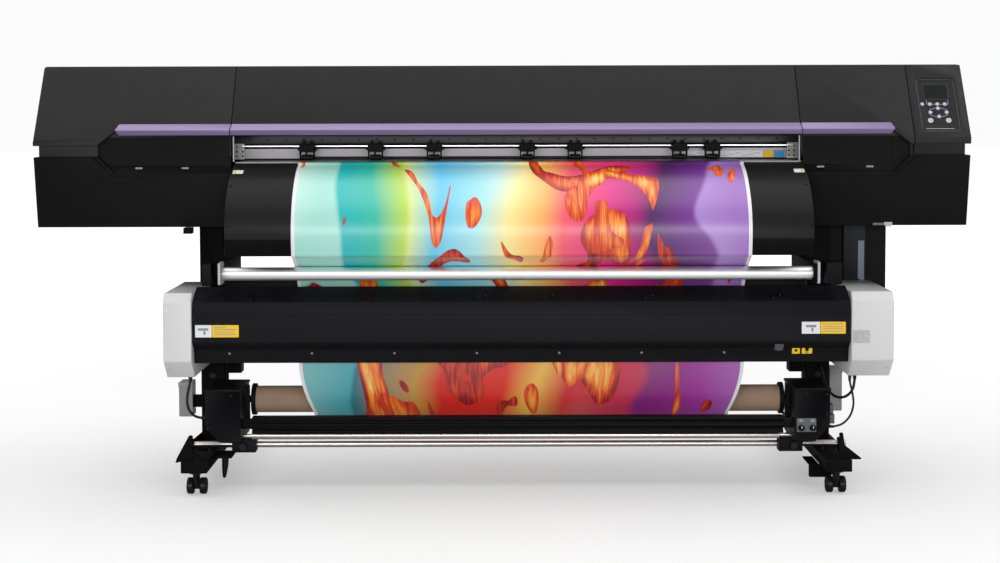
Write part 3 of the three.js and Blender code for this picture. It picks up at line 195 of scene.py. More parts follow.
def plate(outline, axis, start, end, edge=0.001, corner=0.002, steps=3, origin=(0, 0, 0)):
    """A flat outline carried along an axis from start to end, its corners rounded and both rims eased by a
    quarter circle: each ring is the outline moved in by edge (1 - cos) at a depth of edge (1 - sin)."""
    u, v, n = axes_of(axis)
    origin = SLOPE_ORIGIN if isinstance(axis, str) and axis == "SLOPE" else np.array(origin, float)
    flat = rounded(outline, corner, steps) if corner else np.asarray(outline, float)
    low, high = min(start, end), max(start, end)
    edge = min(edge, 0.49 * (high - low))
    turns = np.linspace(0, math.pi / 2, 3)
    rims = [(low + edge * (1 - math.sin(t)), edge * (1 - math.cos(math.pi / 2 - t))) for t in turns]
    rims += [(high - edge * (1 - math.sin(t)), edge * (1 - math.cos(math.pi / 2 - t))) for t in turns[::-1]]
    rings = []
    for depth, inwards in rims:
        ring = shrunk(flat, inwards)
        rings.append(origin + ring[:, :1] * u + ring[:, 1:] * v + depth * n)
    return loft(rings)


def rectangle(a0, a1, b0, b1):
    """Four corners in turn, from two limits on each of two axes."""
    return [(a0, b0), (a1, b0), (a1, b1), (a0, b1)]


def block(low, high, edge=0.0015, corner=0.002, axis="Y"):
    """A box with rounded corners and eased rims."""
    low, high = np.minimum(low, high), np.maximum(low, high)
    first, second, third = {"X": (1, 2, 0), "Y": (0, 2, 1), "Z": (0, 1, 2)}[axis]
    flat = rectangle(low[first], high[first], low[second], high[second])
    return plate(flat, axis, low[third], high[third], edge, corner)


def turned(profile, axis, at, sides=48):
    """A profile of (along the axis, radius) points, spun once round the axis through a point."""
    u, v, n = axes_of(axis)
    profile = np.asarray(profile, float)
    turn = np.linspace(0, 2 * math.pi, sides, endpoint=False)
    circle = np.cos(turn)[:, None] * u + np.sin(turn)[:, None] * v
    radii = np.maximum(profile[:, 1], 1e-5)
    rings = np.asarray(at, float) + profile[:, 0][:, None, None] * n + radii[:, None, None] * circle
    return loft(rings)


def rod(axis, at, start, end, radius, edge=0.001, sides=48):
    """A round bar between two places on its axis, with eased ends."""
    profile = [(start, radius - edge), (start + edge, radius), (end - edge, radius), (end, radius - edge)]
    return turned(profile, axis, at, sides)


def swept(path, radius, sides=12):
    """A tube: a circle carried along a path on a frame that turns as little as it can."""
    path = np.asarray(path, float)
    tangent = np.gradient(path, axis=0)
    tangent /= np.linalg.norm(tangent, axis=1)[:, None]
    side = np.cross(tangent[0], [0.3, 0.9, 0.2])
    turn = np.linspace(0, 2 * math.pi, sides, endpoint=False)
    rings = []
    for point, ahead in zip(path, tangent):
        side = side - ahead * np.dot(side, ahead)
        side /= np.linalg.norm(side)
        across = np.cross(ahead, side)
        rings.append(point + radius * (np.cos(turn)[:, None] * side + np.sin(turn)[:, None] * across))
    return loft(rings)


def catmull(points, per_span):
    """A uniform Catmull-Rom curve through points."""
    points = np.asarray(points, float)
    padded = np.concatenate([points[:1], points, points[-1:]])
    t = np.linspace(0, 1, per_span, endpoint=False)[:, None]
    spans = []
    for p0, p1, p2, p3 in zip(padded, padded[1:], padded[2:], padded[3:]):
        a, b = (p2 - p0) / 2, (p3 - p1) / 2
        spans.append((2 * p1 - 2 * p2 + a + b) * t ** 3 + (-3 * p1 + 3 * p2 - 2 * a - b) * t ** 2 + a * t + p1)
    return np.concatenate(spans + [points[-1:]])


def even(path, spacing):
    """A path resampled at equal steps of its own length."""
    length = np.concatenate([[0], np.cumsum(np.linalg.norm(np.diff(path, axis=0), axis=1))])
    at = np.linspace(0, length[-1], max(2, round(length[-1] / spacing) + 1))
    return np.stack([np.interp(at, length, path[:, i]) for i in range(path.shape[1])], axis=1)


def offset(path, distance):
    """A path moved sideways, to the left of its direction of travel."""
    ahead = np.gradient(path, axis=0)
    ahead /= np.linalg.norm(ahead, axis=1)[:, None]
    return path + np.stack([-ahead[:, 1], ahead[:, 0]], axis=1) * distance


# ------------------------------------------------------------------ pieces

def piece(name, form, material, body=MAIN, smooth=38.0):
    """A form, or a list of forms, as an object: merged, its faces turned outwards, smooth up to an angle in
    degrees, riding on a body."""
    points, faces = joined(*form) if isinstance(form, list) else form
    mesh = bpy.data.meshes.new(name)
    mesh.from_pydata(points.tolist(), [], faces)
    work = bmesh.new()
    work.from_mesh(mesh)
    bmesh.ops.remove_doubles(work, verts=work.verts, dist=2e-6)
    bmesh.ops.dissolve_degenerate(work, dist=1e-6, edges=work.edges)
    bmesh.ops.recalc_face_normals(work, faces=work.faces)
    work.to_mesh(mesh)
    work.free()
    mesh.shade_smooth()
    mesh.set_sharp_from_angle(angle=math.radians(smooth))
    mesh.materials.append(material)
    thing = bpy.data.objects.new(name, mesh)
    bpy.context.scene.collection.objects.link(thing)
    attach(thing, body)
    return thing


def stand_in(node, form, material, smooth=38.0):
    """A finer piece in place of a node of the frame."""
    thing = piece(node + "_finished", form, material, BODY_OF[node], smooth)
    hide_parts(node)
    return thing


SAME_PLACE = 1e-5  # nearer than this counts as one point
FLAT = math.radians(0.6)  # faces that turn by less than this are one face
SHARP = math.radians(24)  # edges that turn by less than this are left alone
FACE_SHARE = 0.4  # most of a face's width that one rounding may take
EDGE_SHARE = 0.42  # and most of the length of an edge that meets it
LEAST_ROUNDING = 0.00012


def softened(node, radius, material, wide=None):
    """A copy of a node with its triangles merged to flat faces and its outer edges rounded. Each radius is cut
    to under half the width of the faces beside it, where the width of a rim that runs round is its area over
    half its outline, so thin walls keep their form. wide is (X places, radius, height): edges in those end
    planes and above that height take the larger radius."""
    mesh = NODES[node].data.copy()
    work = bmesh.new()
    work.from_mesh(mesh)
    bmesh.ops.remove_doubles(work, verts=work.verts, dist=SAME_PLACE)
    bmesh.ops.dissolve_limit(work, angle_limit=FLAT, verts=work.verts, edges=work.edges)
    weight = work.edges.layers.float.new("bevel_weight_edge")
    largest = max(radius, wide[1]) if wide else radius
    for edge in work.edges:
        if len(edge.link_faces) != 2 or edge.calc_face_angle(0) < SHARP:
            continue
        length = max(edge.calc_length(), SAME_PLACE)
        ahead = (edge.verts[1].co - edge.verts[0].co) / length
        width = min(face.calc_area() / max(length, 0.5 * face.calc_perimeter()) for face in edge.link_faces)
        reach = FACE_SHARE * width
        for vert in edge.verts:
            for other in vert.link_edges:
                size = other.calc_length()
                along = abs((other.verts[1].co - other.verts[0].co).dot(ahead)) / max(size, 1e-6)
                if other is not edge and along < 0.87:
                    reach = min(reach, EDGE_SHARE * size)
        wanted = radius if edge.is_convex else 0.0
        if wide and edge.is_convex and sum(vert.co.z for vert in edge.verts) / 2 > wide[2] and any(
                all(abs(vert.co.x - place) < 1e-4 for vert in edge.verts) for place in wide[0]):
            wanted = wide[1]
        size = min(wanted, reach)
        if size < LEAST_ROUNDING:
            edge.smooth = False
        else:
            edge[weight] = size / largest
    for face in work.faces:
        face.smooth = True
    work.to_mesh(mesh)
    work.free()
    mesh.materials.clear()
    mesh.materials.append(material)
    thing = bpy.data.objects.new(node + "_finished", mesh)
    bpy.context.scene.collection.objects.link(thing)
    bevel = thing.modifiers.new("Rounded edges", "BEVEL")
    bevel.limit_method = "WEIGHT"
    bevel.width = largest
    bevel.segments = 3
    bevel.use_clamp_overlap = False
    bevel.harden_normals = True
    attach(thing, BODY_OF[node])
    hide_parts(node)
    return thing


# ------------------------------------------------------------------ materials

def give(tree, socket, value):
    """Sets a socket, or links it where the value is a socket itself."""
    if isinstance(value, bpy.types.NodeSocket):
        tree.links.new(value, socket)
    else:
        socket.default_value = value


def add_node(tree, kind, **inputs):
    """A node with its inputs set or linked by name."""
    node = tree.nodes.new(kind)
    for key, value in inputs.items():
        give(tree, node.inputs[key.replace("_", " ")], value)
    return node


def math_node(tree, operation, a, b=0.0, clamp=False):
    """One step of arithmetic on two values or sockets."""
    node = tree.nodes.new("ShaderNodeMath")
    node.operation = operation
    node.use_clamp = clamp
    for socket, value in zip(node.inputs, (a, b)):
        give(tree, socket, value)
    return node.outputs[0]


def step_between(tree, value, low, high):
    """0 below low, 1 above high, smooth between."""
    node = tree.nodes.new("ShaderNodeMapRange")
    node.interpolation_type = "SMOOTHSTEP"
    tree.links.new(value, node.inputs["Value"])
    for key, limit in (("From Min", low), ("From Max", high)):
        give(tree, node.inputs[key], limit)
    return node.outputs["Result"]


def mixed(tree, factor, first, second, blend="MIX"):
    """Two colours blended by a factor."""
    node = tree.nodes.new("ShaderNodeMix")
    node.data_type = "RGBA"
    node.blend_type = blend
    for socket, value in ((node.inputs[0], factor), (node.inputs[6], first), (node.inputs[7], second)):
        give(tree, socket, value)
    return node.outputs[2]


def ramp(tree, value, stops):
    """A colour read from (place, colour) stops, straight between them."""
    node = tree.nodes.new("ShaderNodeValToRGB")
    elements = node.color_ramp.elements
    while len(elements) < len(stops):
        elements.new(0.5)
    for element, (place, colour) in zip(elements, stops):
        element.position = place
        element.color = (*colour, 1)
    tree.links.new(value, node.inputs[0])
    return node.outputs[0]


def new_group(name, inputs, outputs):
    """An empty shader node group; inputs and outputs are (name, kind, default or None)."""
    tree = bpy.data.node_groups.new(name, "ShaderNodeTree")
    for way, sockets in (("INPUT", inputs), ("OUTPUT", outputs)):
        for label, kind, default in sockets:
            socket = tree.interface.new_socket(name=label, in_out=way, socket_type="NodeSocket" + kind)
            if default is not None:
                socket.default_value = default
    return tree, tree.nodes.new("NodeGroupInput").outputs, tree.nodes.new("NodeGroupOutput").inputs


def stretched(tree, scale):
    """Object coordinates, multiplied along each axis."""
    place = tree.nodes.new("ShaderNodeTexCoord").outputs["Object"]
    mapping = tree.nodes.new("ShaderNodeMapping")
    mapping.inputs["Scale"].default_value = scale
    tree.links.new(place, mapping.inputs["Vector"])
    return mapping.outputs["Vector"]


def noise(tree, vector, scale, detail=4.0, roughness=0.5, distortion=0.0):
    """Noise from 0 to 1, with its middle at a half."""
    return add_node(tree, "ShaderNodeTexNoise", Vector=vector, Scale=scale, Detail=detail,
                    Roughness=roughness, Distortion=distortion).outputs["Fac"]


def moulded_group():
    """Grain of a moulded or powder-coated surface: fine bumps, a slow mottle in colour, uneven gloss."""
    tree, given, out = new_group(
        "Moulded Grain",
        [("Base", "Color", (0.1, 0.1, 0.1, 1)), ("Gloss", "Float", 0.5), ("Grain Scale", "Float", 900.0),
         ("Mottle", "Float", 0.15)],
        [("Color", "Color", None), ("Roughness", "Float", None), ("Height", "Float", None)])
    place = stretched(tree, (1, 1, 1))
    grain = noise(tree, place, given["Grain Scale"], 2.0)
    slow = noise(tree, place, 2.3, 3.0)
    smudge = noise(tree, place, 9.0, 5.0, 0.6)
    amount = math_node(tree, "MULTIPLY", math_node(tree, "SUBTRACT", slow, 0.5), given["Mottle"])
    bright = math_node(tree, "ADD", 1.0, math_node(tree, "MULTIPLY", amount, 2.0))
    tone = add_node(tree, "ShaderNodeCombineColor", Red=bright, Green=bright, Blue=bright).outputs[0]
    tree.links.new(mixed(tree, 1.0, given["Base"], tone, "MULTIPLY"), out["Color"])
    uneven = math_node(tree, "MULTIPLY", math_node(tree, "SUBTRACT", smudge, 0.5), 0.16)
    fine = math_node(tree, "MULTIPLY", math_node(tree, "SUBTRACT", grain, 0.5), 0.10)
    tree.links.new(math_node(tree, "ADD", math_node(tree, "ADD", given["Gloss"], uneven), fine, True),
                   out["Roughness"])
    tree.links.new(grain, out["Height"])
    return tree


def dust_group():
    """A thin film of dust that lies where a surface faces up, broken by noise."""
    tree, given, out = new_group(
        "Dust Film",
        [("Color", "Color", (0.1, 0.1, 0.1, 1)), ("Roughness", "Float", 0.5), ("Amount", "Float", 0.1)],
        [("Color", "Color", None), ("Roughness", "Float", None)])
    normal = tree.nodes.new("ShaderNodeNewGeometry").outputs["Normal"]
    split = add_node(tree, "ShaderNodeSeparateXYZ", Vector=normal)
    facing = step_between(tree, split.outputs["Z"], 0.35, 1.0)
    cloud = step_between(tree, noise(tree, stretched(tree, (1, 1, 1)), 26.0, 7.0, 0.65), 0.35, 0.75)
    mask = math_node(tree, "MULTIPLY", math_node(tree, "MULTIPLY", facing, cloud), given["Amount"])
    tree.links.new(mixed(tree, mask, given["Color"], (0.42, 0.40, 0.37, 1)), out["Color"])
    rough = math_node(tree, "ADD", given["Roughness"], math_node(tree, "MULTIPLY", mask, 0.6), True)
    tree.links.new(rough, out["Roughness"])
    return tree


def brushed_group():
    """Lines left by drawing or grinding: noise stretched a hundred times along one axis."""
    tree, given, out = new_group(
        "Drawn Lines",
        [("Base", "Color", (0.6, 0.6, 0.6, 1)), ("Gloss", "Float", 0.3), ("Depth", "Float", 0.5)],
        [("Color", "Color", None), ("Roughness", "Float", None), ("Height", "Float", None)])
    lines = noise(tree, stretched(tree, (3, 420, 420)), 1.0, 5.0, 0.6)
    smear = noise(tree, stretched(tree, (1, 6, 6)), 3.0, 3.0)
    shade = math_node(tree, "ADD", 0.94, math_node(tree, "MULTIPLY", lines, 0.12))
    tone = add_node(tree, "ShaderNodeCombineColor", Red=shade, Green=shade, Blue=shade).outputs[0]
    tree.links.new(mixed(tree, 1.0, given["Base"], tone, "MULTIPLY"), out["Color"])
    spread = math_node(tree, "MULTIPLY", math_node(tree, "SUBTRACT", lines, 0.5), 0.06)
    haze = math_node(tree, "MULTIPLY", math_node(tree, "SUBTRACT", smear, 0.5), 0.03)
    total = math_node(tree, "ADD", math_node(tree, "ADD", given["Gloss"], spread), haze, True)
    tree.links.new(total, out["Roughness"])
    tree.links.new(math_node(tree, "MULTIPLY", lines, given["Depth"]), out["Height"])
    return tree


GROUPS = {}


def group(name):
    """A shared node group, made when it is first asked for."""
    makers = {"moulded": moulded_group, "dust": dust_group, "brushed": brushed_group}
    if name not in GROUPS:
        GROUPS[name] = makers[name]()
    return GROUPS[name]


def place_group(tree, name, **inputs):
    """A shared group in a tree, its inputs set or linked by name."""
    node = tree.nodes.new("ShaderNodeGroup")
    node.node_tree = group(name)
    for key, value in inputs.items():
        give(tree, node.inputs[key.replace("_", " ")], value)
    return node


def principled(name):
    """A new material with its tree and its shader."""
    material = bpy.data.materials.new(name)
    material.use_nodes = True
    tree = material.node_tree
    return material, tree, tree.nodes["Principled BSDF"]


def add_bump(tree, shader, height, strength, distance):
    """Bump from a height, on the shader's normal."""
    bump = add_node(tree, "ShaderNodeBump", Strength=strength, Distance=distance, Height=height)
    tree.links.new(bump.outputs["Normal"], shader.inputs["Normal"])


def moulded(name, colour, gloss, grain=900.0, bump=0.12, mottle=0.15, dust=0.03, specular=0.25, coat=0.0,
            metallic=0.0):
    """Moulded plastic or powder coat: grain, mottle, uneven gloss and a trace of dust."""
    material, tree, shader = principled(name)
    surface = place_group(tree, "moulded", Base=(*colour, 1), Gloss=gloss, Grain_Scale=grain, Mottle=mottle)
    film = place_group(tree, "dust", Color=surface.outputs["Color"], Roughness=surface.outputs["Roughness"],
                       Amount=dust)
    tree.links.new(film.outputs["Color"], shader.inputs["Base Color"])
    tree.links.new(film.outputs["Roughness"], shader.inputs["Roughness"])
    shader.inputs["Specular IOR Level"].default_value = specular
    shader.inputs["Coat Weight"].default_value = coat
    shader.inputs["Metallic"].default_value = metallic
    add_bump(tree, shader, surface.outputs["Height"], bump, 0.0004)
    return material


def metal(name, colour, gloss, depth=0.5, bump=0.1):
    """Bare metal with drawn lines along the machine."""
    material, tree, shader = principled(name)
    surface = place_group(tree, "brushed", Base=(*colour, 1), Gloss=gloss, Depth=depth)
    tree.links.new(surface.outputs["Color"], shader.inputs["Base Color"])
    tree.links.new(surface.outputs["Roughness"], shader.inputs["Roughness"])
    shader.inputs["Metallic"].default_value = 1.0
    add_bump(tree, shader, surface.outputs["Height"], bump, 0.0003)
    return material


# ------------------------------------------------------------------ sizes and colours a user would change

class FinishSettings(bpy.types.PropertyGroup):
    cover: FloatVectorProperty(name="Cover", description="Colour of the upper covers", subtype="COLOR",
                               default=(0.022, 0.022, 0.0222), min=0, max=1)
    lower: FloatVectorProperty(name="Lower cover", description="Colour of the lower covers", subtype="COLOR",
                               default=(0.0060, 0.0060, 0.0063), min=0, max=1)
    trim: FloatVectorProperty(name="Trim", description="Colour of the coloured trim", subtype="COLOR",
                              default=(0.262, 0.190, 0.350), min=0, max=1)
    paint: FloatVectorProperty(name="Stand paint", description="Powder coat of the stand", subtype="COLOR",
                               default=(0.0045, 0.0046, 0.0050), min=0, max=1)
    apron: FloatVectorProperty(name="Apron", description="Paint of the curved front apron", subtype="COLOR",
                               default=(0.014, 0.014, 0.0142), min=0, max=1)
    unit: FloatVectorProperty(name="Unit plastic", description="Hood and take-up mouldings", subtype="COLOR",
                              default=(0.0075, 0.0075, 0.0092), min=0, max=1)
    pale: FloatVectorProperty(name="Pale plastic", description="White end covers", subtype="COLOR",
                              default=(0.60, 0.60, 0.60), min=0, max=1)
    board: FloatVectorProperty(name="Core board", description="Board of the take-up core", subtype="COLOR",
                               default=(0.340, 0.225, 0.160), min=0, max=1)


class ShapeSettings(bpy.types.PropertyGroup):
    cover_edge: FloatProperty(name="Cover edges", description="Radius of the covers' edges", unit="LENGTH",
                              default=0.003, min=0.0005, max=0.01)
    cover_corner: FloatProperty(name="Cover ends", description="Radius of the outer ends of the covers",
                                unit="LENGTH", default=0.012, min=0.002, max=0.013)
    metal_edge: FloatProperty(name="Sheet metal edges", description="Radius of folded metal edges",
                              unit="LENGTH", default=0.0018, min=0.0003, max=0.004)
    screw: FloatProperty(name="Screw head", description="Radius of the small screw heads", unit="LENGTH",
                         default=0.004, min=0.001, max=0.01)
    bolt: FloatProperty(name="Bolt head", description="Radius of the stand's bolt heads", unit="LENGTH",
                        default=0.0075, min=0.002, max=0.02)


class MediaSettings(bpy.types.PropertyGroup):
    step: FloatProperty(name="Grid step", description="Spacing of the sheet's rows", unit="LENGTH",
                        default=0.006, min=0.002, max=0.05)
    columns: IntProperty(name="Columns", description="Rings of points across the sheet", default=60, min=8,
                         max=200)
    narrowing: FloatProperty(name="Narrowing", description="Share of its width that the sheet loses by its end",
                             subtype="FACTOR", default=0.060, min=0, max=0.1)
    narrow_from: FloatProperty(name="Narrowing starts", description="How far down the print its edges draw in",
                               unit="LENGTH", default=0.93, min=0, max=2)
    narrow_over: FloatProperty(name="Narrowing length", description="Length over which its edges draw in",
                               unit="LENGTH", default=0.17, min=0.01, max=1)
    margin: FloatProperty(name="Margin", description="White margin on each side", unit="LENGTH", default=0.011,
                          min=0, max=0.05)


class StageSettings(bpy.types.PropertyGroup):
    overhead: FloatProperty(name="Overhead light", description="Power of the overhead light", unit="POWER",
                            default=1500.0, min=0)
    strip: FloatProperty(name="Front strip", description="Power of the wide strip light in front",
                         unit="POWER", default=300.0, min=0)
    world: FloatProperty(name="Surroundings", description="Strength of the pale surroundings", default=0.16,
                         min=0)
    floor_glow: FloatProperty(name="Floor brightness", description="Lift of the floor's own white", default=0.38,
                              min=0, max=1)
    lens: FloatProperty(name="Lens", description="Focal length in millimetres on a 36 mm sensor",
                        default=59.98, min=10)


FINISH = {}
# Short name: name, colour, gloss, grain scale, bump, mottle, dust, specular, then coat and metallic
MOULDED = {
    "plate": ("Bed plating", (0.40, 0.37, 0.405), 0.34, 700, 0.05, 0.04, 0.02, 0.45),
    "rail": ("Rail anodising", (0.018, 0.018, 0.020), 0.36, 900, 0.06, 0.10, 0.02, 0.25),
    "tank": ("Tank plastic", (0.010, 0.011, 0.014), 0.42, 900, 0.08, 0.10, 0.02, 0.12),
    "dark": ("Dark anodising", (0.0030, 0.0030, 0.0036), 0.46, 900, 0.06, 0.10, 0.01, 0.07),
    "matt": ("Matt black", (0.0045, 0.0045, 0.0052), 0.60, 900, 0.15, 0.10, 0.02, 0.10),
    "gloss": ("Glossy black", (0.0040, 0.0040, 0.0048), 0.24, 600, 0.03, 0.06, 0.03, 0.25, 0.10),
    "grey": ("Grey plastic", (0.105, 0.108, 0.112), 0.45, 900, 0.10, 0.08, 0.03, 0.30),
    "light": ("Light grey plastic", (0.42, 0.43, 0.45), 0.42, 900, 0.08, 0.06, 0.02, 0.35),
    "box": ("Box plastic", (0.30, 0.30, 0.30), 0.45, 900, 0.10, 0.08, 0.03, 0.25),
    "beige": ("Plated steel sheet", (0.36, 0.34, 0.32), 0.38, 700, 0.06, 0.10, 0.03, 0.5, 0.0, 0.35),
    "rubber": ("Rubber", (0.0055, 0.0055, 0.0058), 0.36, 500, 0.15, 0.10, 0.04, 0.22),
    "violet": ("Violet print", (0.26, 0.16, 0.42), 0.40, 1200, 0.02, 0.03, 0.01, 0.35),
    "yellow": ("Yellow marking", (0.80, 0.50, 0.012), 0.45, 1200, 0.03, 0.05, 0.02, 0.30),
    "blue": ("Blue marking", (0.02, 0.30, 0.62), 0.45, 1200, 0.03, 0.05, 0.02, 0.30),
    "label": ("White marking", (0.70, 0.70, 0.72), 0.45, 1200, 0.03, 0.05, 0.02, 0.30),
    "dim": ("Grey marking", (0.23, 0.24, 0.26), 0.45, 1200, 0.03, 0.05, 0.02, 0.30),
    "ink": ("Tank window", (0.12, 0.16, 0.22), 0.24, 600, 0.03, 0.10, 0.02, 0.5),
}


def make_finishes(s, margin):
    """Every material of the machine, by a short name."""
    f = FINISH
    for key, values in MOULDED.items():
        f[key] = moulded(*values)
    f["cover"] = moulded("Upper cover plastic", s.cover, 0.42, 1100, 0.10, 0.10, 0.015, 0.08)
    f["lower"] = moulded("Lower cover plastic", s.lower, 0.50, 1100, 0.10, 0.10, 0.01, 0.05)
    # painted shade: the trim is darker on its faces that look down
    f["trim"] = painted_underside_shade(moulded("Coloured trim", s.trim, 0.36, 1500, 0.05, 0.06, 0.02, 0.30))
    f["paint"] = moulded("Stand powder coat", s.paint, 0.52, 700, 0.22, 0.12, 0.008, 0.03)
    # painted shade: the apron's paint is darkened below the height where it turns under
    f["apron"] = painted_shade_below(moulded("Apron paint", s.apron, 0.36, 800, 0.10, 0.08, 0.01, 0.08), APRON_SHADE_LINE,
                              0.12)
    f["unit"] = moulded("Unit plastic", s.unit, 0.46, 1000, 0.12, 0.10, 0.012, 0.07)
    f["pale"] = moulded("Pale cover plastic", s.pale, 0.42, 900, 0.08, 0.04, 0.02, 0.40)
    f["steel"] = metal("Plated steel", (0.62, 0.62, 0.64), 0.32)
    f["silver"] = metal("Drawn aluminium", (0.70, 0.70, 0.73), 0.32)
    f["chrome"] = metal("Polished bar", (0.68, 0.63, 0.60), 0.30, 0.0, 0.0)
    f["bar"] = metal("Ground aluminium bar", (0.92, 0.92, 0.92), 0.46, 0.0, 0.0)
    f["board"] = core_board(s.board)
    f["glass"] = display_glass()
    f["cable"] = cable_jacket()
    f["print"] = printed_vinyl(margin)
    f["blank"] = moulded("Vinyl back", (0.74, 0.74, 0.73), 0.40, 500, 0.03, 0.03, 0.01, 0.35)


def painted_shade_below(material, height, left):
    """Painted shade: leaves only a share of the colour below one height, where the sheet metal turns under and faces
    down.
    """
    tree, shader = material.node_tree, material.node_tree.nodes["Principled BSDF"]
    painted = shader.inputs["Base Color"].links[0].from_socket
    place = add_node(tree, "ShaderNodeSeparateXYZ", Vector=tree.nodes.new("ShaderNodeTexCoord").outputs["Object"])
    upper = step_between(tree, place.outputs["Z"], height - 0.004, height + 0.002)
    # the shaded colour is painted shade on the part that faces down, not a second paint
    shaded_colour = mixed(tree, 1.0, painted, (left, left, left, 1), "MULTIPLY")
    tree.links.new(mixed(tree, upper, shaded_colour, painted), shader.inputs["Base Color"])
    return material


def painted_underside_shade(material):
    """Paints shade on a material: a deeper colour on faces that look down, where less light falls."""
    tree, shader = material.node_tree, material.node_tree.nodes["Principled BSDF"]
    painted = shader.inputs["Base Color"].links[0].from_socket
    split = add_node(tree, "ShaderNodeSeparateXYZ", Vector=tree.nodes.new("ShaderNodeNewGeometry").outputs["Normal"])
    upper = step_between(tree, split.outputs["Z"], -0.15, 0.25)
    # painted shade: the deeper colour stands for the unlit underside
    shaded_colour = mixed(tree, 1.0, painted, (0.55, 0.52, 0.60, 1), "MULTIPLY")
    tree.links.new(mixed(tree, upper, shaded_colour, painted), shader.inputs["Base Color"])
    return material


def core_board(colour):
    """Spiral-wound board: bands that climb along the core as they go round it, with loose fibres."""
    material, tree, shader = principled("Core board")
    place = add_node(tree, "ShaderNodeSeparateXYZ", Vector=tree.nodes.new("ShaderNodeTexCoord").outputs["Object"])
    up = math_node(tree, "SUBTRACT", place.outputs["Z"], float(CORE[2]))
    turn = math_node(tree, "ARCTAN2", up, math_node(tree, "SUBTRACT", place.outputs["Y"], float(CORE[1])))
    climb = math_node(tree, "ADD", math_node(tree, "MULTIPLY", place.outputs["X"], 7.2),
                      math_node(tree, "DIVIDE", turn, 2 * math.pi))
    band = math_node(tree, "FRACT", climb)
    seam = math_node(tree, "SUBTRACT", 1.0, step_between(tree, band, 0.0, 0.03))
    fibres = noise(tree, stretched(tree, (60, 400, 400)), 1.0, 6.0, 0.7)
    cloud = noise(tree, stretched(tree, (1, 1, 1)), 7.0, 4.0)
    tone = ramp(tree, cloud, [(0.25, [c * 0.86 for c in colour]), (0.75, [c * 1.12 for c in colour])])
    flecks = mixed(tree, math_node(tree, "MULTIPLY", fibres, 0.35), tone, (0.36, 0.25, 0.18, 1))
    tree.links.new(mixed(tree, math_node(tree, "MULTIPLY", seam, 0.22), flecks, (0.10, 0.055, 0.035, 1)),
                   shader.inputs["Base Color"])
    shader.inputs["Roughness"].default_value = 0.78
    shader.inputs["Specular IOR Level"].default_value = 0.2
    add_bump(tree, shader, math_node(tree, "SUBTRACT", fibres, seam), 0.25, 0.0004)
    return material


def display_glass():
    """A switched-off display: very dark glass with a fine grid of cells just seen through it."""
    material, tree, shader = principled("Display glass")
    place = add_node(tree, "ShaderNodeSeparateXYZ", Vector=stretched(tree, (1, 1, 1)))
    across = math_node(tree, "FRACT", math_node(tree, "MULTIPLY", place.outputs["X"], 420.0))
    up = math_node(tree, "FRACT", math_node(tree, "MULTIPLY", place.outputs["Z"], 420.0))
    cell = math_node(tree, "MULTIPLY", step_between(tree, across, 0.1, 0.3), step_between(tree, up, 0.1, 0.3))
    tree.links.new(mixed(tree, cell, (0.0012, 0.0016, 0.0022, 1), (0.0022, 0.0028, 0.0036, 1)),
                   shader.inputs["Base Color"])
    smear = noise(tree, stretched(tree, (1, 1, 1)), 40.0, 4.0)
    tree.links.new(math_node(tree, "ADD", 0.06, math_node(tree, "MULTIPLY", smear, 0.10)),
                   shader.inputs["Roughness"])
    shader.inputs["Specular IOR Level"].default_value = 0.12
    return material


def cable_jacket():
    """Cable jacket with a fine grain and dusty, uneven gloss."""
    material, tree, shader = principled("Cable jacket")
    surface = place_group(tree, "moulded", Base=(0.008, 0.008, 0.009, 1), Gloss=0.46, Grain_Scale=1400.0,
                          Mottle=0.2)
    film = place_group(tree, "dust", Color=surface.outputs["Color"], Roughness=surface.outputs["Roughness"],
                       Amount=0.12)
    tree.links.new(film.outputs["Color"], shader.inputs["Base Color"])
    tree.links.new(film.outputs["Roughness"], shader.inputs["Roughness"])
    add_bump(tree, shader, surface.outputs["Height"], 0.2, 0.0003)
    return material


UPPER_BANDS = [(0.000, (0.30, 0.62, 0.55)), (0.115, (0.34, 0.66, 0.57)), (0.125, (0.01, 0.42, 0.44)),
               (0.200, (0.04, 0.46, 0.34)), (0.262, (0.46, 0.64, 0.08)), (0.274, (0.62, 0.72, 0.30)),
               (0.330, (0.12, 0.52, 0.76)), (0.420, (0.38, 0.70, 0.72)), (0.480, (0.86, 0.72, 0.28)),
               (0.545, (0.90, 0.42, 0.12)), (0.600, (0.80, 0.10, 0.14)), (0.700, (0.66, 0.02, 0.22)),
               (0.790, (0.36, 0.01, 0.16)), (0.830, (0.07, 0.015, 0.10)), (0.925, (0.16, 0.03, 0.26)),
               (0.935, (0.36, 0.21, 0.54)), (1.000, (0.30, 0.14, 0.46))]
LOWER_BANDS = [(0.000, (0.16, 0.42, 0.44)), (0.120, (0.06, 0.34, 0.38)), (0.130, (0.02, 0.16, 0.22)),
               (0.260, (0.50, 0.26, 0.05)), (0.300, (0.62, 0.020, 0.015)), (0.440, (0.66, 0.025, 0.015)),
               (0.520, (0.76, 0.46, 0.08)), (0.600, (0.58, 0.02, 0.03)), (0.740, (0.50, 0.02, 0.08)),
               (0.760, (0.20, 0.01, 0.16)), (0.900, (0.30, 0.03, 0.28)), (1.000, (0.34, 0.10, 0.40))]
TONGUE_BANDS = [(0.30, (0.05, 0.004, 0.02)), (0.42, (0.34, 0.015, 0.015)), (0.52, (0.66, 0.06, 0.015)),
                (0.62, (0.82, 0.26, 0.03)), (0.74, (0.88, 0.56, 0.16))]


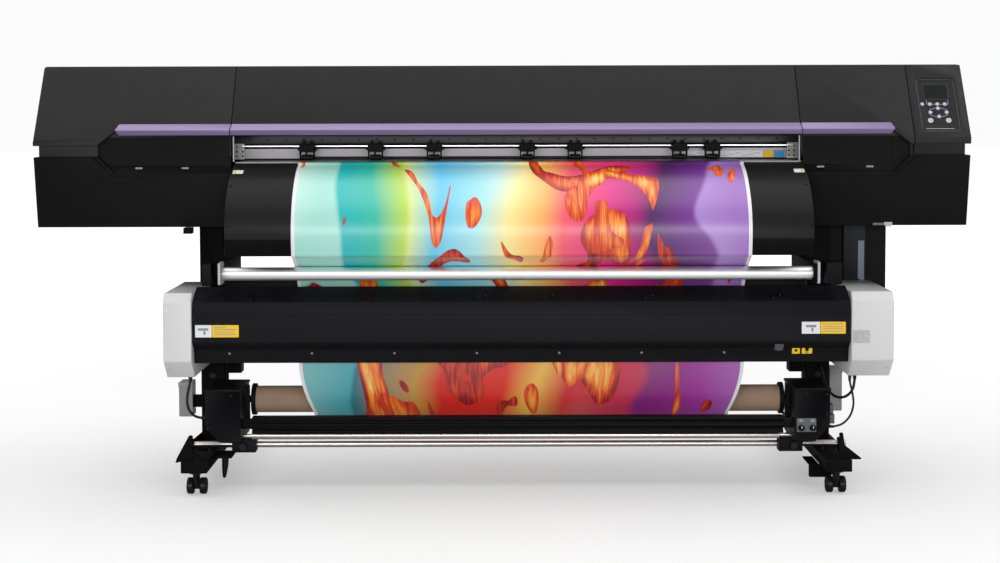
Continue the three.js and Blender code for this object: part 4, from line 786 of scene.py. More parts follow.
def printed_vinyl(margin):
    """White vinyl printed in ink: bands of colour across the sheet, their borders bent into slow waves, and
    over them drifting tongues cut out of noise, streaked along their length. The sheet's UV map is in metres
    from its left edge and from the start of the print; ink lies between the margins, after the start."""
    material, tree, shader = principled("Printed vinyl")
    uv = tree.nodes.new("ShaderNodeUVMap")
    uv.uv_map = "Sheet"
    part = add_node(tree, "ShaderNodeSeparateXYZ", Vector=uv.outputs["UV"])
    width = float(MEDIA_HIGH[0] - MEDIA_LOW[0])
    u, v = math_node(tree, "DIVIDE", part.outputs["X"], width), part.outputs["Y"]

    def field(x, y, shift, detail, rough=0.55, bend=0.0, lean=0.0):
        """Noise over the flat sheet, with its own scale along and across it."""
        mapping = tree.nodes.new("ShaderNodeMapping")
        mapping.inputs["Rotation"].default_value = (0, 0, lean)
        mapping.inputs["Scale"].default_value = (x, y, 1)
        mapping.inputs["Location"].default_value = (shift, shift * 0.7, 0)
        tree.links.new(uv.outputs["UV"], mapping.inputs["Vector"])
        return noise(tree, mapping.outputs["Vector"], 1.0, detail, rough, bend)

    def centred(value, amount):
        """A value from 0 to 1 as a swing about zero."""
        return math_node(tree, "MULTIPLY", math_node(tree, "SUBTRACT", value, 0.5), amount)

    def tongues(x, y, shift, cut, lean, bands_from):
        """Smooth blobs of noise above a level, with shaded streaks inside and a dark turned edge."""
        shape = field(x, y, shift, 1.2, 0.4, 1.3, lean)
        mask = step_between(tree, shape, cut, cut + 0.006)
        depth = step_between(tree, shape, cut, cut + 0.16)
        streak = field(46.0, 5.0, shift + 4.0, 5.0, 0.6, 1.6, lean)
        tone = math_node(tree, "ADD", math_node(tree, "MULTIPLY", depth, 0.30), centred(streak, 0.55))
        return mask, ramp(tree, math_node(tree, "ADD", tone, bands_from), TONGUE_BANDS)

    waves = math_node(tree, "MULTIPLY", math_node(tree, "SINE", math_node(tree, "MULTIPLY", v, 5.2)), 0.022)
    broad = centred(field(1.3, 2.0, 3.1, 1.0, 0.4, 0.4), 0.16)
    bent = math_node(tree, "ADD", u, math_node(tree, "ADD", waves, broad))
    upper = ramp(tree, bent, UPPER_BANDS)
    lower = ramp(tree, math_node(tree, "ADD", bent, centred(field(2.4, 3.0, 1.3, 1.0), 0.12)), LOWER_BANDS)
    base = mixed(tree, step_between(tree, v, 0.66, 0.86), upper, lower)
    glow = step_between(tree, field(1.9, 1.1, 8.0, 1.0, 0.4, 0.5), 0.50, 0.72)
    fading = math_node(tree, "MULTIPLY", math_node(tree, "SUBTRACT", 1.0, u, True), 0.5)
    lit = mixed(tree, math_node(tree, "MULTIPLY", glow, fading), base, (0.88, 0.84, 0.56, 1), "SCREEN")
    mask, colours = tongues(4.2, 2.1, 11.3, 0.612, 0.35, 0.42)
    first = mixed(tree, mask, lit, colours)
    mask, colours = tongues(5.6, 2.6, 27.9, 0.640, -0.30, 0.50)
    second = mixed(tree, mask, first, colours)
    in_from_left = step_between(tree, part.outputs["X"], margin, margin + 0.001)
    in_from_right = step_between(tree, part.outputs["X"], width - margin, width - margin - 0.001)
    begun = step_between(tree, v, 0.0, 0.001)
    inked = math_node(tree, "MULTIPLY", math_node(tree, "MULTIPLY", in_from_left, in_from_right), begun)
    tree.links.new(mixed(tree, inked, (0.72, 0.70, 0.74, 1), second),
                   shader.inputs["Base Color"])
    gloss = math_node(tree, "ADD", 0.36, centred(field(30.0, 30.0, 5.0, 3.0), 0.10))
    tree.links.new(gloss, shader.inputs["Roughness"])
    shader.inputs["Specular IOR Level"].default_value = 0.6
    add_bump(tree, shader, field(900.0, 900.0, 2.0, 2.0), 0.04, 0.0002)
    return material


# ------------------------------------------------------------------ small shared parts

def screw_head(at, axis, radius, proud):
    """A domed head with a round socket: a profile spun about its axis."""
    return turned([(0, radius), (proud * 0.55, radius), (proud, radius * 0.78), (proud, radius * 0.42),
                   (proud * 0.45, radius * 0.40)], axis, at, 20)


def hex_head(at, axis, radius, proud=0.006):
    """A washer with a six-sided head on it."""
    washer = turned([(0, radius * 1.35), (proud * 0.22, radius * 1.35)], axis, at, 24)
    head = turned([(proud * 0.22, radius), (proud * 0.85, radius), (proud, radius * 0.86)], axis, at, 6)
    return joined(washer, head)


INK = (0.0001, 0.00003)  # thickness and eased edge of a printed mark


def stuck(node, x0, x1, z0, z1, thick=0.0003, edge=0.0001, corner=0.0015, start=0.0001):
    """A thin plate lying on a node's face between these X and Z places, its back start off the face."""
    point, (u, v, n) = lying_on(node, (x0 + x1) / 2, (z0 + z1) / 2)
    half_x, half_z = abs(x1 - x0) / 2, abs(z1 - z0) / 2 / abs(v[2])
    return plate(rectangle(-half_x, half_x, -half_z, half_z), (u, v, n), start, start + thick, edge, corner,
                 origin=point)


def on_node(node, x, z, radius, proud):
    """A screw head lying on a node's face."""
    point, axes = lying_on(node, x, z)
    return screw_head(point + axes[2] * 0.0001, axes, radius, proud)


def many(maker, places):
    """The same form made at each of some places, joined."""
    return joined(*(maker(np.array(place, float)) for place in places))


# ------------------------------------------------------------------ operators, one for each group of pieces

class PC_OT_stage(bpy.types.Operator):
    """Pale floor, plain surroundings, two soft lights and the camera"""
    bl_idname = "printer_cutter.stage"
    bl_label = "Stage"

    def execute(self, context):
        s = context.scene.printer_cutter_stage
        scene = context.scene
        mesh = bpy.data.meshes.new("floor")
        side = np.linspace(-40, 40, 9)
        x, y = np.meshgrid(side, side, indexing="ij")
        rows = np.arange(8)[:, None] * 9 + np.arange(8)[None, :]
        faces = np.stack([rows, rows + 9, rows + 10, rows + 1], axis=-1).reshape(-1, 4)
        mesh.from_pydata(np.column_stack([x.ravel(), y.ravel(), np.zeros(81)]).tolist(), [], faces.tolist())
        floor, tree, shader = principled("Studio floor")
        cloud = noise(tree, stretched(tree, (1, 1, 1)), 0.8, 3.0)
        tree.links.new(ramp(tree, cloud, [(0.3, (0.48, 0.48, 0.48)), (0.7, (0.50, 0.50, 0.50))]),
                       shader.inputs["Base Color"])
        shader.inputs["Roughness"].default_value = 0.65
        shader.inputs["Specular IOR Level"].default_value = 0.10
        seen = tree.nodes.new("ShaderNodeLightPath").outputs["Is Camera Ray"]
        away = tree.nodes.new("ShaderNodeVectorMath")
        away.operation = "LENGTH"
        tree.links.new(tree.nodes.new("ShaderNodeTexCoord").outputs["Object"], away.inputs[0])
        far = math_node(tree, "MULTIPLY", step_between(tree, away.outputs["Value"], 2.4, 8.0), 0.55)
        lift = math_node(tree, "MULTIPLY", seen, math_node(tree, "ADD", far, s.floor_glow))
        shader.inputs["Emission Color"].default_value = (1, 1, 1, 1)
        tree.links.new(lift, shader.inputs["Emission Strength"])
        mesh.materials.append(floor)
        ground = bpy.data.objects.new("floor", mesh)
        scene.collection.objects.link(ground)

        world = bpy.data.worlds.new("Studio")
        world.use_nodes = True
        tree = world.node_tree
        tree.nodes["Background"].inputs["Color"].default_value = (1, 1, 1, 1)
        tree.nodes["Background"].inputs["Strength"].default_value = s.world
        white = add_node(tree, "ShaderNodeBackground", Strength=1.0)
        path = tree.nodes.new("ShaderNodeLightPath")
        both = tree.nodes.new("ShaderNodeMixShader")
        tree.links.new(path.outputs["Is Camera Ray"], both.inputs[0])
        tree.links.new(tree.nodes["Background"].outputs[0], both.inputs[1])
        tree.links.new(white.outputs[0], both.inputs[2])
        tree.links.new(both.outputs[0], tree.nodes["World Output"].inputs["Surface"])
        white.inputs["Color"].default_value = (0.97, 0.97, 0.97, 1)
        scene.world = world
        scene.view_settings.view_transform = "Standard"

        for name, power, size, place, turn in (
                ("overhead", s.overhead, (22.0, 12.0), (0.0, 1.5, 7.0), (0, 0, 0)),
                ("front_strip", s.strip, (9.0, 0.8), (0.0, -6.6, 1.45), (math.radians(88), 0, 0))):
            light = bpy.data.lights.new(name, "AREA")
            light.shape = "RECTANGLE"
            light.size, light.size_y = size
            light.energy = power
            lamp = bpy.data.objects.new(name, light)
            lamp.location, lamp.rotation_euler = place, turn
            scene.collection.objects.link(lamp)

        camera = bpy.data.cameras.new("camera")
        camera.lens, camera.sensor_width = s.lens, 36.0
        camera.shift_x, camera.shift_y = -0.00185, -0.0910
        view = bpy.data.objects.new("camera", camera)
        view.location = (0, -5.8, 1.2827)
        view.rotation_euler = (math.radians(87), math.radians(0.15), 0)
        scene.collection.objects.link(view)
        scene.camera = view
        return {"FINISHED"}


CABLES = {
    "right_motor_cable": (0.0045, [
        (1.170, -0.300, 0.3847), (1.170, -0.300, 0.358), (1.165, -0.290, 0.325), (1.148, -0.260, 0.298),
        (1.126, -0.215, 0.290), (1.110, -0.160, 0.305), (1.104, -0.110, 0.340), (1.104, -0.075, 0.361),
        (1.104, -0.0506, 0.363)]),
    "right_signal_cable": (0.0035, [
        (1.146, -0.340, 0.3847), (1.147, -0.340, 0.360), (1.156, -0.335, 0.325), (1.162, -0.326, 0.285),
        (1.155, -0.312, 0.245), (1.135, -0.296, 0.215), (1.110, -0.285, 0.203), (1.0866, -0.284, 0.202)]),
    "left_motor_cable": (0.0045, [
        (-1.036, -0.310, 0.3847), (-1.037, -0.310, 0.362), (-1.045, -0.306, 0.330), (-1.050, -0.300, 0.296),
        (-1.046, -0.290, 0.265), (-1.030, -0.278, 0.242), (-1.008, -0.271, 0.234), (-0.9876, -0.270, 0.234)]),
}


SLEEVE = 0.022  # length of the sleeve at each end of a cable


class PC_OT_cords(bpy.types.Operator):
    """The take-up unit's cables, each a tube along its route, with tapered sleeves where it enters a housing"""
    bl_idname = "printer_cutter.cords"
    bl_label = "Cables"

    def execute(self, context):
        for name, (radius, points) in CABLES.items():
            line = even(catmull(points, 24), 0.008)
            cord = piece(name + "_jacket", swept(line, radius, 14), FINISH["cable"])
            sleeves = []
            for end, towards in ((line[0], line[1]), (line[-1], line[-2])):
                ahead = (towards - end) / np.linalg.norm(towards - end)
                reach = np.linspace(0.0004, SLEEVE, 12)
                ribs = radius * (1.75 - 0.6 * reach / SLEEVE) + 0.0006 * np.sin(reach / SLEEVE * 6 * math.pi)
                side = np.cross(ahead, (0.3, 0.9, 0.2))
                side /= np.linalg.norm(side)
                turn = np.linspace(0, 2 * math.pi, 20, endpoint=False)
                ring = np.cos(turn)[:, None] * side + np.sin(turn)[:, None] * np.cross(ahead, side)
                sleeves.append(loft(end + reach[:, None, None] * ahead + ribs[:, None, None] * ring))
            boots = piece(name + "_sleeves", sleeves, FINISH["rubber"])
            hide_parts(name)
        return {"FINISHED"}


class PC_OT_covers(bpy.types.Operator):
    """Upper and lower covers, rear cover, front cover and coloured trim, with their seams and small fittings"""
    bl_idname = "printer_cutter.covers"
    bl_label = "Covers"

    def execute(self, context):
        s = context.scene.printer_cutter_shape
        f = FINISH
        ends = (float(corners("left_upper_cover")[0][0]), float(corners("control_panel_cover")[1][0]))
        for node in ("left_upper_cover", "right_upper_cover", "control_panel_cover", "front_cover"):
            softened(node, s.cover_edge, f["cover"], wide=(ends, s.cover_corner, 1.20))
        for node in ("left_lower_cover", "right_lower_cover", "rear_cover"):
            softened(node, s.cover_edge, f["lower"])
        for node in ("left_trim", "front_trim", "right_trim"):
            softened(node, 0.0025, f["trim"])
        softened("waste_ink_tank", 0.004, f["tank"])
        low, high = corners("waste_ink_tank")
        window = [(low[0] + 0.051, low[2] + 0.108), (low[0] + 0.073, low[2] + 0.098),
                  (low[0] + 0.073, low[2] + 0.241), (low[0] + 0.051, low[2] + 0.241)]
        piece("tank_window", plate(window, "Y", low[1] - 0.0022, low[1] + 0.001, 0.0008, 0.003), f["ink"])
        seam = low[0] + 0.0770
        skin = block((seam, low[1] - 0.0010, low[2] + 0.004), (high[0] - 0.003, low[1] - 0.0001, high[2] - 0.004),
                     0.0003, 0.0006)
        duct = block((1.1372, 0.012, low[2] + 0.006), (low[0] - 0.0003, 0.130, high[2]), 0.002, 0.003)
        piece("tank_seam", [skin, duct], f["matt"])
        y = float(corners("left_lower_cover")[0][1])
        latch = joined(block((1.263, y - 0.004, 0.876), (1.290, y - 0.0003, 0.887), 0.001, 0.002),
                       block((1.266, y - 0.009, 0.872), (1.286, y - 0.004, 0.880), 0.001, 0.002))
        piece("cover_latch", latch, f["light"])
        piece("cover_latch_hook", block((1.226, y - 0.0042, 0.877), (1.262, y - 0.0002, 0.8845), 0.0005, 0.001),
              f["grey"])
        bracket = block((-1.056, y, 0.8535), (-1.029, y + 0.045, 0.8725), 0.001, 0.002, "Z")
        piece("cover_bracket", bracket, f["paint"])
        tabs = many(lambda at: block(at + (-0.012, -0.002, -0.0032), at + (0.012, 0.0, 0.0032), 0.0008, 0.002),
                    [(1.058, RECESS_Y - 0.0003, 1.0700), (1.222, RECESS_Y - 0.0003, 1.0700),
                     (-1.052, RECESS_Y - 0.0003, 1.0700), (-1.206, RECESS_Y - 0.0003, 1.0700)])
        piece("recess_tabs", tabs, f["dim"])
        left_end, right_end = float(corners("left_upper_cover")[1][0]), float(corners("right_upper_cover")[0][0])
        panels = [plate([(end, 1.077), (low_x, 1.077), (far_x, 1.113), (far_x, 1.150), (top_x, 1.1715),
                         (end, 1.1715)], "Y", RECESS_Y - 0.0014, RECESS_Y - 0.0002, 0.0004, 0.002)
                  for end, low_x, far_x, top_x in ((left_end - 0.006, -1.305, -1.346, -1.322),
                                                   (right_end + 0.006, 1.318, 1.358, 1.334))]
        piece("recess_panels", panels, f["lower"])
        piece("recess_seam", block((1.2925, RECESS_Y - 0.0022, 1.078), (1.2950, RECESS_Y - 0.0012, 1.170),
                                   0.0004, 0.0008), f["matt"])
        low, high = corners("rear_cover")
        rear_y = float(high[1])
        slots = [(x, rear_y, z) for x in np.arange(low[0] + 0.22, high[0] - 0.18, 0.34)
                 for z in np.arange(low[2] + 0.030, low[2] + 0.105, 0.014)]
        louvre = many(lambda at: block(at + (-0.07, 0.0002, -0.0032), at + (0.07, 0.0024, 0.0032), 0.0008,
                                       0.003), slots)
        piece("rear_louvres", louvre, f["matt"])
        screws = [(x, rear_y + 0.0002, z) for x in np.linspace(low[0] + 0.05, high[0] - 0.05, 9)
                  for z in (low[2] + 0.012, 1.265)]
        piece("rear_screws", many(lambda at: screw_head(at, "Y", s.screw, 0.0022), screws), f["steel"])
        return {"FINISHED"}


class PC_OT_window(bpy.types.Operator):
    """What the front window shows: the rail's guide, the bed and its strips, end plates and pinch units"""
    bl_idname = "printer_cutter.window"
    bl_label = "Window"

    def execute(self, context):
        f = FINISH
        left, right = float(BED_LOW[0]), float(BED_HIGH[0])
        rail_y = float(corners("carriage_rail")[0][1])
        softened("carriage_rail", 0.001, f["rail"])
        softened("main_frame", 0.0015, f["paint"])
        softened("platen", 0.0008, f["plate"])
        softened("front_apron", 0.0008, f["apron"])
        # painted shade: matt black discs stand for the shade inside the guide rail's holes
        holes = [(x, rail_y + 0.0005, 1.1605) for x in np.arange(left + 0.03, right - 0.02, 0.062)]
        piece("guide_hole_shade", many(lambda at: turned([(0, 0.0034), (-0.0012, 0.0034), (-0.0012, 0.0022)], "Y",
                                                    at, 14), holes), f["matt"])
        face = -0.1003
        piece("bed_backing", block((left + 0.002, face - 0.0022, 1.0955), (right - 0.002, face, 1.1285),
                                   0.0006, 0.001), f["plate"])
        # painted shade: a matt black strip stands for the shade in the guide's slot
        piece("guide_slot_shade", block((left + 0.002, face - 0.0010, 1.1290), (right - 0.002, face, 1.1355),
                                  0.0003, 0.0006), f["matt"])
        units = (-0.661, -0.429, -0.230, 0.086, 0.248, 0.603, 0.714)
        bounds = [left + 0.006] + [x + side * 0.0268 for x in units for side in (-1, 1)] + [right - 0.006]
        spans = [block((a, -0.1292, 1.1362), (b, -0.1266, 1.1400), 0.0006, 0.001)
                 for a, b in zip(bounds[::2], bounds[1::2])]
        piece("guide_edge", spans, f["silver"], "pinch_arms")
        plates = [block((x0, -0.1185, 1.0930), (x1, -0.1165, 1.1470), 0.0006, 0.002)
                  for x0, x1 in ((left - 0.027, left + 0.013), (right - 0.029, right + 0.012))]
        piece("window_end_plates", plates, f["beige"])
        # painted shade: matt black discs stand for the shade inside the end plates' holes
        dots = [(x, -0.1187, z) for x in (left - 0.013, left + 0.007, right - 0.022, right - 0.004)
                for z in (1.104, 1.120, 1.136)]
        piece("end_plate_hole_shade", many(lambda at: turned([(0, 0.0032), (-0.0008, 0.0032)], "Y", at, 14), dots),
              f["matt"])
        edges = [block((x, -0.262, 1.0905), (x + 0.004, -0.258, 1.1740), 0.0008, 0.001)
                 for x in (left - 0.0035, right - 0.0135)]
        piece("window_edges", edges, f["light"])
        strip = face - 0.0036
        piece("scale_strip", block((0.613, strip, 1.0965), (0.893, face - 0.0023, 1.1195), 0.0003, 0.001),
              f["label"])
        marks = []
        for i, x in enumerate(np.arange(0.622, 0.872, 0.022)):
            z = 1.101 + 0.0045 * (i % 3)
            marks.append(block((x, strip - 0.0004, z), (x + 0.016, strip, z + 0.0015), 0.0001, 0.0003))
        piece("scale_marks", marks, f["dim"])
        for name, x0, x1 in (("yellow", 0.8945, 0.929), ("blue", 0.9305, 0.966)):
            piece(name + "_patch", block((x0, strip, 1.0965), (x1, face - 0.0023, 1.1195), 0.0003, 0.001), f[name])
        softened("pinch_arm_bank", 0.0012, f["matt"])
        softened("pinch_rollers", 0.001, f["rubber"])
        softened("grit_roller", 0.001, f["steel"])
        fittings = []
        for x in units:
            for side in (-1, 1):
                fittings.append(block((x + side * 0.013 - 0.004, -0.135, 1.1462),
                                      (x + side * 0.013 + 0.004, -0.124, 1.1575), 0.001, 0.002))
                fittings.append(block((x + side * 0.0252, -0.150, 1.1250), (x + side * 0.0325, -0.128, 1.1330),
                                      0.0008, 0.002))
            fittings.append(block((x - 0.010, -0.1715, 1.1270), (x + 0.010, -0.1682, 1.1420), 0.001, 0.003))
            fittings.append(block((x - 0.0035, -0.1720, 1.1060), (x + 0.0035, -0.1684, 1.1262), 0.0008, 0.002))
        piece("pinch_fittings", fittings, f["matt"], "pinch_arms")
        low, high = float(APRON_LOW[0]), float(APRON_HIGH[0])
        piece("apron_markings", joined(*(stuck("front_apron", x0, x1, 1.0535, 1.0640)
                                         for x0, x1 in ((low + 0.006, low + 0.040), (high - 0.040, high - 0.006)))),
              f["label"])
        piece("apron_mark_dots", joined(*(stuck("front_apron", x0, x1, 1.0555, 1.0620, 0.0004)
                                          for x0, x1 in ((low + 0.008, low + 0.018), (high - 0.018, high - 0.008)))),
              f["yellow"])
        screws = [on_node("front_apron", x, z, 0.0036, 0.0012)
                  for x in (low + 0.010, high - 0.010) for z in (1.0170, 0.8900)]
        piece("apron_screws", screws, f["matt"])
        return {"FINISHED"}


class PC_OT_panel(bpy.types.Operator):
    """Control panel on the sloping face: frame, display, printed link lines and domed keys"""
    bl_idname = "printer_cutter.panel"
    bl_label = "Control panel"

    def execute(self, context):
        f = FINISH
        floor = -0.0050
        left, right, low, high = 1.392, 1.521, slope_v(1.187), slope_v(1.362)
        inner = rectangle(left + 0.0012, right - 0.0012, low + 0.0012, high - 0.0012)
        outer = rounded(inner, 0.0135, 6)
        rim_in = shrunk(outer, 0.0016)
        u, v, n = (np.array(a, float) for a in AXES["SLOPE"])

        def ring(flat, off):
            """A flat outline carried onto the sloping face, some way off it."""
            return SLOPE_ORIGIN + flat[:, :1] * u + flat[:, 1:] * v + off * n

        band = np.array([ring(outer, floor + 0.0002), ring(outer, floor + 0.0016),
                         ring(rim_in, floor + 0.0016), ring(rim_in, floor + 0.0002)])
        points, faces = loft(band)
        count = len(outer)
        faces = faces[:-2] + [(3 * count + i, 3 * count + (i + 1) % count, (i + 1) % count, i)
                              for i in range(count)]
        piece("panel_rim", (points, faces), f["grey"])
        z0, z1 = slope_v(1.297), slope_v(1.342)
        piece("display_frame", plate(rectangle(1.412, 1.498, z0 - 0.006, z1 + 0.006), "SLOPE", floor + 0.0002,
                                     floor + 0.0014, 0.0005, 0.004), f["gloss"])
        piece("display", plate(rectangle(1.417, 1.493, z0, z1), "SLOPE", floor + 0.0014, floor + 0.0022,
                               0.0003, 0.001), f["glass"])
        thick, proud = 0.0011, floor + 0.0006

        def link(a, b):
            """A thin straight line between two places on the face."""
            a, b = np.array(a), np.array(b)
            ahead = (b - a) / np.linalg.norm(b - a)
            side = np.array([-ahead[1], ahead[0]]) * thick
            return plate([a - side, b - side, b + side, a + side], "SLOPE", floor + 0.0002, proud, 0.0001,
                         0.0)

        keys = {name: centre(name) for name in BODY_OF if name.endswith("_key")
                or name.startswith("function_key")}
        row = slope_v(1.2775)
        lines = [link((1.4205, z0 - 0.0065), (1.4205, row)), link((1.4205, row), (1.4910, row)),
                 link((1.4910, row), (1.4910, z0 - 0.0065))]
        cx, cv = 1.455, slope_v(1.2505)
        turn = np.linspace(0, 2 * math.pi, 7) + math.pi / 6
        hexagon = np.column_stack([cx + 0.033 * np.cos(turn), cv + 0.0205 * np.sin(turn)])
        lines += [link(a, b) for a, b in zip(hexagon, hexagon[1:])]
        piece("panel_lines", lines, f["violet"])
        piece("panel_light_line", plate(rectangle(1.407, 1.499, slope_v(1.1965), slope_v(1.1978)), "SLOPE",
                                        floor + 0.0002, floor + 0.0006, 0.0001, 0.0), f["light"])
        for name, middle in keys.items():
            key_low, key_high = corners(name)
            radius = (key_high[0] - key_low[0]) / 2
            up = np.dot(middle - SLOPE_ORIGIN, UP_SLOPE)
            off = np.dot(middle - SLOPE_ORIGIN, OFF_SLOPE)
            depth = 0.00375
            dome = np.linspace(0, 1, 6)
            profile = [(off - depth, radius - 0.0004), (off - depth + 0.0004, radius),
                       (off + depth - 0.0012, radius)]
            profile += [(off + depth - 0.0012 * (1 - math.sin(t * math.pi / 2)),
                         radius - 0.0016 * (1 - math.cos(t * math.pi / 2))) for t in dome[1:]]
            profile += [(off + depth - 0.0003, radius * 0.55), (off + depth - 0.0004, radius * 0.2)]
            at = SLOPE_ORIGIN + np.array([middle[0], 0, 0]) + UP_SLOPE * up
            stand_in(name, turned(profile, "SLOPE", at, 32), f["light"], 50)
        return {"FINISHED"}


PRINT_LEAD = 0.010  # the print starts this far ahead of the bed's front edge
NARROWING_BEND = 1.5  # power of the curve that draws the edges in


class PC_OT_media(bpy.types.Operator):
    """The vinyl from its supply roll over the bed and apron, behind the hood and round the take-up core, as a
    thin closed grid, with the supply roll and the core"""
    bl_idname = "printer_cutter.media"
    bl_label = "Media"

    def execute(self, context):
        s = context.scene.printer_cutter_media
        near, far = section_sides("media_sheet")
        middle = even(between(near, far), s.step)
        if middle[0, 0] < middle[-1, 0]:
            middle = middle[::-1]
        x0, x1 = float(MEDIA_LOW[0]), float(MEDIA_HIGH[0])
        half = 0.0003
        length = float(np.linalg.norm(np.diff(middle, axis=0), axis=1).sum())
        travelled = np.linspace(0, length, len(middle))
        start = float(travelled[np.argmin(np.hypot(middle[:, 0] - BED_LOW[1], middle[:, 1] - BED_HIGH[2]))])
        printed_from = start - PRINT_LEAD
        rows, columns = len(middle), s.columns
        lower = np.clip((travelled - printed_from - s.narrow_from) / s.narrow_over, 0, 1)
        squeeze = s.narrowing * lower ** NARROWING_BEND
        across = np.linspace(0, 1, columns)
        centre_x = (x0 + x1) / 2
        xs = centre_x + (across[None, :] - 0.5) * (x1 - x0) * (1 - squeeze[:, None])
        sides = []
        for distance in (half, -half):
            line = offset(middle, distance)
            sides.append(np.stack([xs, np.repeat(line[:, :1], columns, 1), np.repeat(line[:, 1:], columns, 1)],
                                  axis=-1))
        grid = np.concatenate([sides[0], sides[1][:, ::-1]], axis=1)
        rings = grid.reshape(rows, 2 * columns, 3)
        points, faces = loft(rings)
        thing = piece("media_sheet_finished", (points, faces[:-2] + strip_caps(rows, columns)), FINISH["print"],
                      BODY_OF["media_sheet"], 60)
        mesh = thing.data
        mesh.materials.append(FINISH["blank"])
        co = np.empty(len(mesh.vertices) * 3)
        mesh.vertices.foreach_get("co", co)
        co = co.reshape(-1, 3)
        nearest = nearest_rows(middle, co[:, 1:])
        v = travelled[nearest] - printed_from
        u = (co[:, 0] - centre_x) / (1 - squeeze[nearest]) + (x1 - x0) / 2
        layer = mesh.uv_layers.new(name="Sheet")
        loops = np.empty(len(mesh.loops), dtype=np.int32)
        mesh.loops.foreach_get("vertex_index", loops)
        layer.data.foreach_set("uv", np.column_stack([u, v])[loops].ravel())
        left = offset(middle, 1.0) - middle
        normals = np.empty(len(mesh.polygons) * 3)
        centres = np.empty(len(mesh.polygons) * 3)
        mesh.polygons.foreach_get("normal", normals)
        mesh.polygons.foreach_get("center", centres)
        normals, centres = normals.reshape(-1, 3), centres.reshape(-1, 3)
        rows_of = nearest_rows(middle, centres[:, 1:])
        outside = front_side(middle)
        facing = np.einsum("ij,ij->i", normals[:, 1:], left[rows_of]) * outside
        mesh.polygons.foreach_set("material_index", (facing < 0.0).astype(np.int32))
        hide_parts("media_sheet")

        low, high = corners("supply_roll")
        at, radius = centre("supply_roll"), (high[2] - low[2]) / 2
        inner = radius - 0.034
        layers = [(low[0] + 0.0006 * (i % 2), radius - 0.0012 * i) for i in range(1, 27)]
        profile = [(low[0] + 0.0012, radius - 0.0006), (low[0] + 0.0018, radius), (high[0] - 0.0018, radius),
                   (high[0] - 0.0012, radius - 0.0006)]
        profile += [(high[0] - 0.0006 * (i % 2), r) for i, (_, r) in enumerate(layers)]
        roll = tube_profile([(a - at[0], r) for a, r in profile],
                            [(high[0] - at[0], inner), (low[0] - at[0], inner)],
                            [(a - at[0], r) for a, r in layers[::-1]], at)
        stand_in("supply_roll", roll, FINISH["blank"], 30)
        a, b, bore = low[0] - at[0] + 0.0002, high[0] - at[0] - 0.0002, 0.0386
        cardboard = tube_profile([(a, inner - 0.0003), (b, inner - 0.0003)], [(b, bore), (a, bore)], [], at)
        piece("supply_core", cardboard, FINISH["board"], BODY_OF["supply_roll"])
        low, high = CORE_LOW - CORE, CORE_HIGH - CORE
        r = CORE_RADIUS
        core = tube_profile([(low[0], r - 0.0006), (low[0] + 0.0006, r), (high[0] - 0.0006, r),
                             (high[0], r - 0.0006)],
                            [(high[0], r - 0.0060), (low[0], r - 0.0060)], [], CORE)
        stand_in("takeup_core", core, FINISH["board"], 30)
        softened("left_core_flange", 0.0012, FINISH["matt"])
        softened("right_core_flange", 0.0012, FINISH["matt"])
        return {"FINISHED"}


def tube_profile(outer, inner, rest, at, sides=72):
    """A tube: outer and inner profiles and the layered end between them, spun as one closed ring."""
    profile = np.array(list(outer) + list(inner) + list(rest))
    turn = np.linspace(0, 2 * math.pi, sides, endpoint=False)
    x = np.repeat(profile[:, :1], sides, 1) + at[0]
    y = at[1] + profile[:, 1:] * np.cos(turn)[None, :]
    z = at[2] + profile[:, 1:] * np.sin(turn)[None, :]
    rings = np.stack([x, y, z], axis=-1)
    points, faces = loft(rings)
    count = len(profile)
    faces = faces[:-2] + [((count - 1) * sides + i, (count - 1) * sides + (i + 1) % sides, (i + 1) % sides, i)
                          for i in range(sides)]
    return points, faces


def section_sides(node):
    """The outline of a sheet's end face, split into its two long sides at its two short edges."""
    work = bmesh.new()
    work.from_mesh(NODES[node].data)
    bmesh.ops.remove_doubles(work, verts=work.verts, dist=SAME_PLACE)
    low = min(vert.co.x for vert in work.verts)
    edges = [edge for edge in work.edges if all(abs(vert.co.x - low) < SAME_PLACE for vert in edge.verts)
             and any(abs(face.normal.x) < 0.5 for face in edge.link_faces)]
    beside = {}
    for edge in edges:
        a, b = edge.verts
        beside.setdefault(a, []).append(b)
        beside.setdefault(b, []).append(a)
    first = edges[0].verts[0]
    loop, last = [first], None
    while True:
        ahead = [vert for vert in beside[loop[-1]] if vert is not last]
        if not ahead or ahead[0] is first:
            break
        last = loop[-1]
        loop.append(ahead[0])
    outline = np.array([(vert.co.y, vert.co.z) for vert in loop])
    work.free()
    gap = np.linalg.norm(np.roll(outline, -1, axis=0) - outline, axis=1)
    first, second = sorted(np.argsort(gap)[:2])
    return outline[first + 1:second + 1], np.concatenate([outline[second + 1:], outline[:first + 1]])[::-1]


def between(near, far):
    """The line halfway between two lines, made smooth through their points."""
    count = max(len(near), len(far))

    def spread(path):
        """The line at equal steps of its own length."""
        length = np.concatenate([[0], np.cumsum(np.linalg.norm(np.diff(path, axis=0), axis=1))])
        at = np.linspace(0, length[-1], count * 6)
        return np.stack([np.interp(at, length, path[:, i]) for i in (0, 1)], axis=1)

    if len(near) == len(far):
        return catmull((near + far) / 2, 6)
    return (spread(near) + spread(far)) / 2


def nearest_rows(line, places):
    """For each place, the index of the nearest point of a line."""
    found = np.empty(len(places), dtype=np.int64)
    for start in range(0, len(places), 4096):
        some = places[start:start + 4096]
        found[start:start + 4096] = np.argmin(
            ((some[:, None, :] - line[None, :, :]) ** 2).sum(axis=-1), axis=1)
    return found


def front_side(line):
    """1 where the left of the line's travel is the printed side, which faces up on the bed, else -1."""
    flat = np.argmin(np.abs(line[:, 0]) + np.abs(line[:, 1] - BED_HIGH[2]))
    return 1.0 if (offset(line, 1.0) - line)[flat, 1] > 0 else -1.0


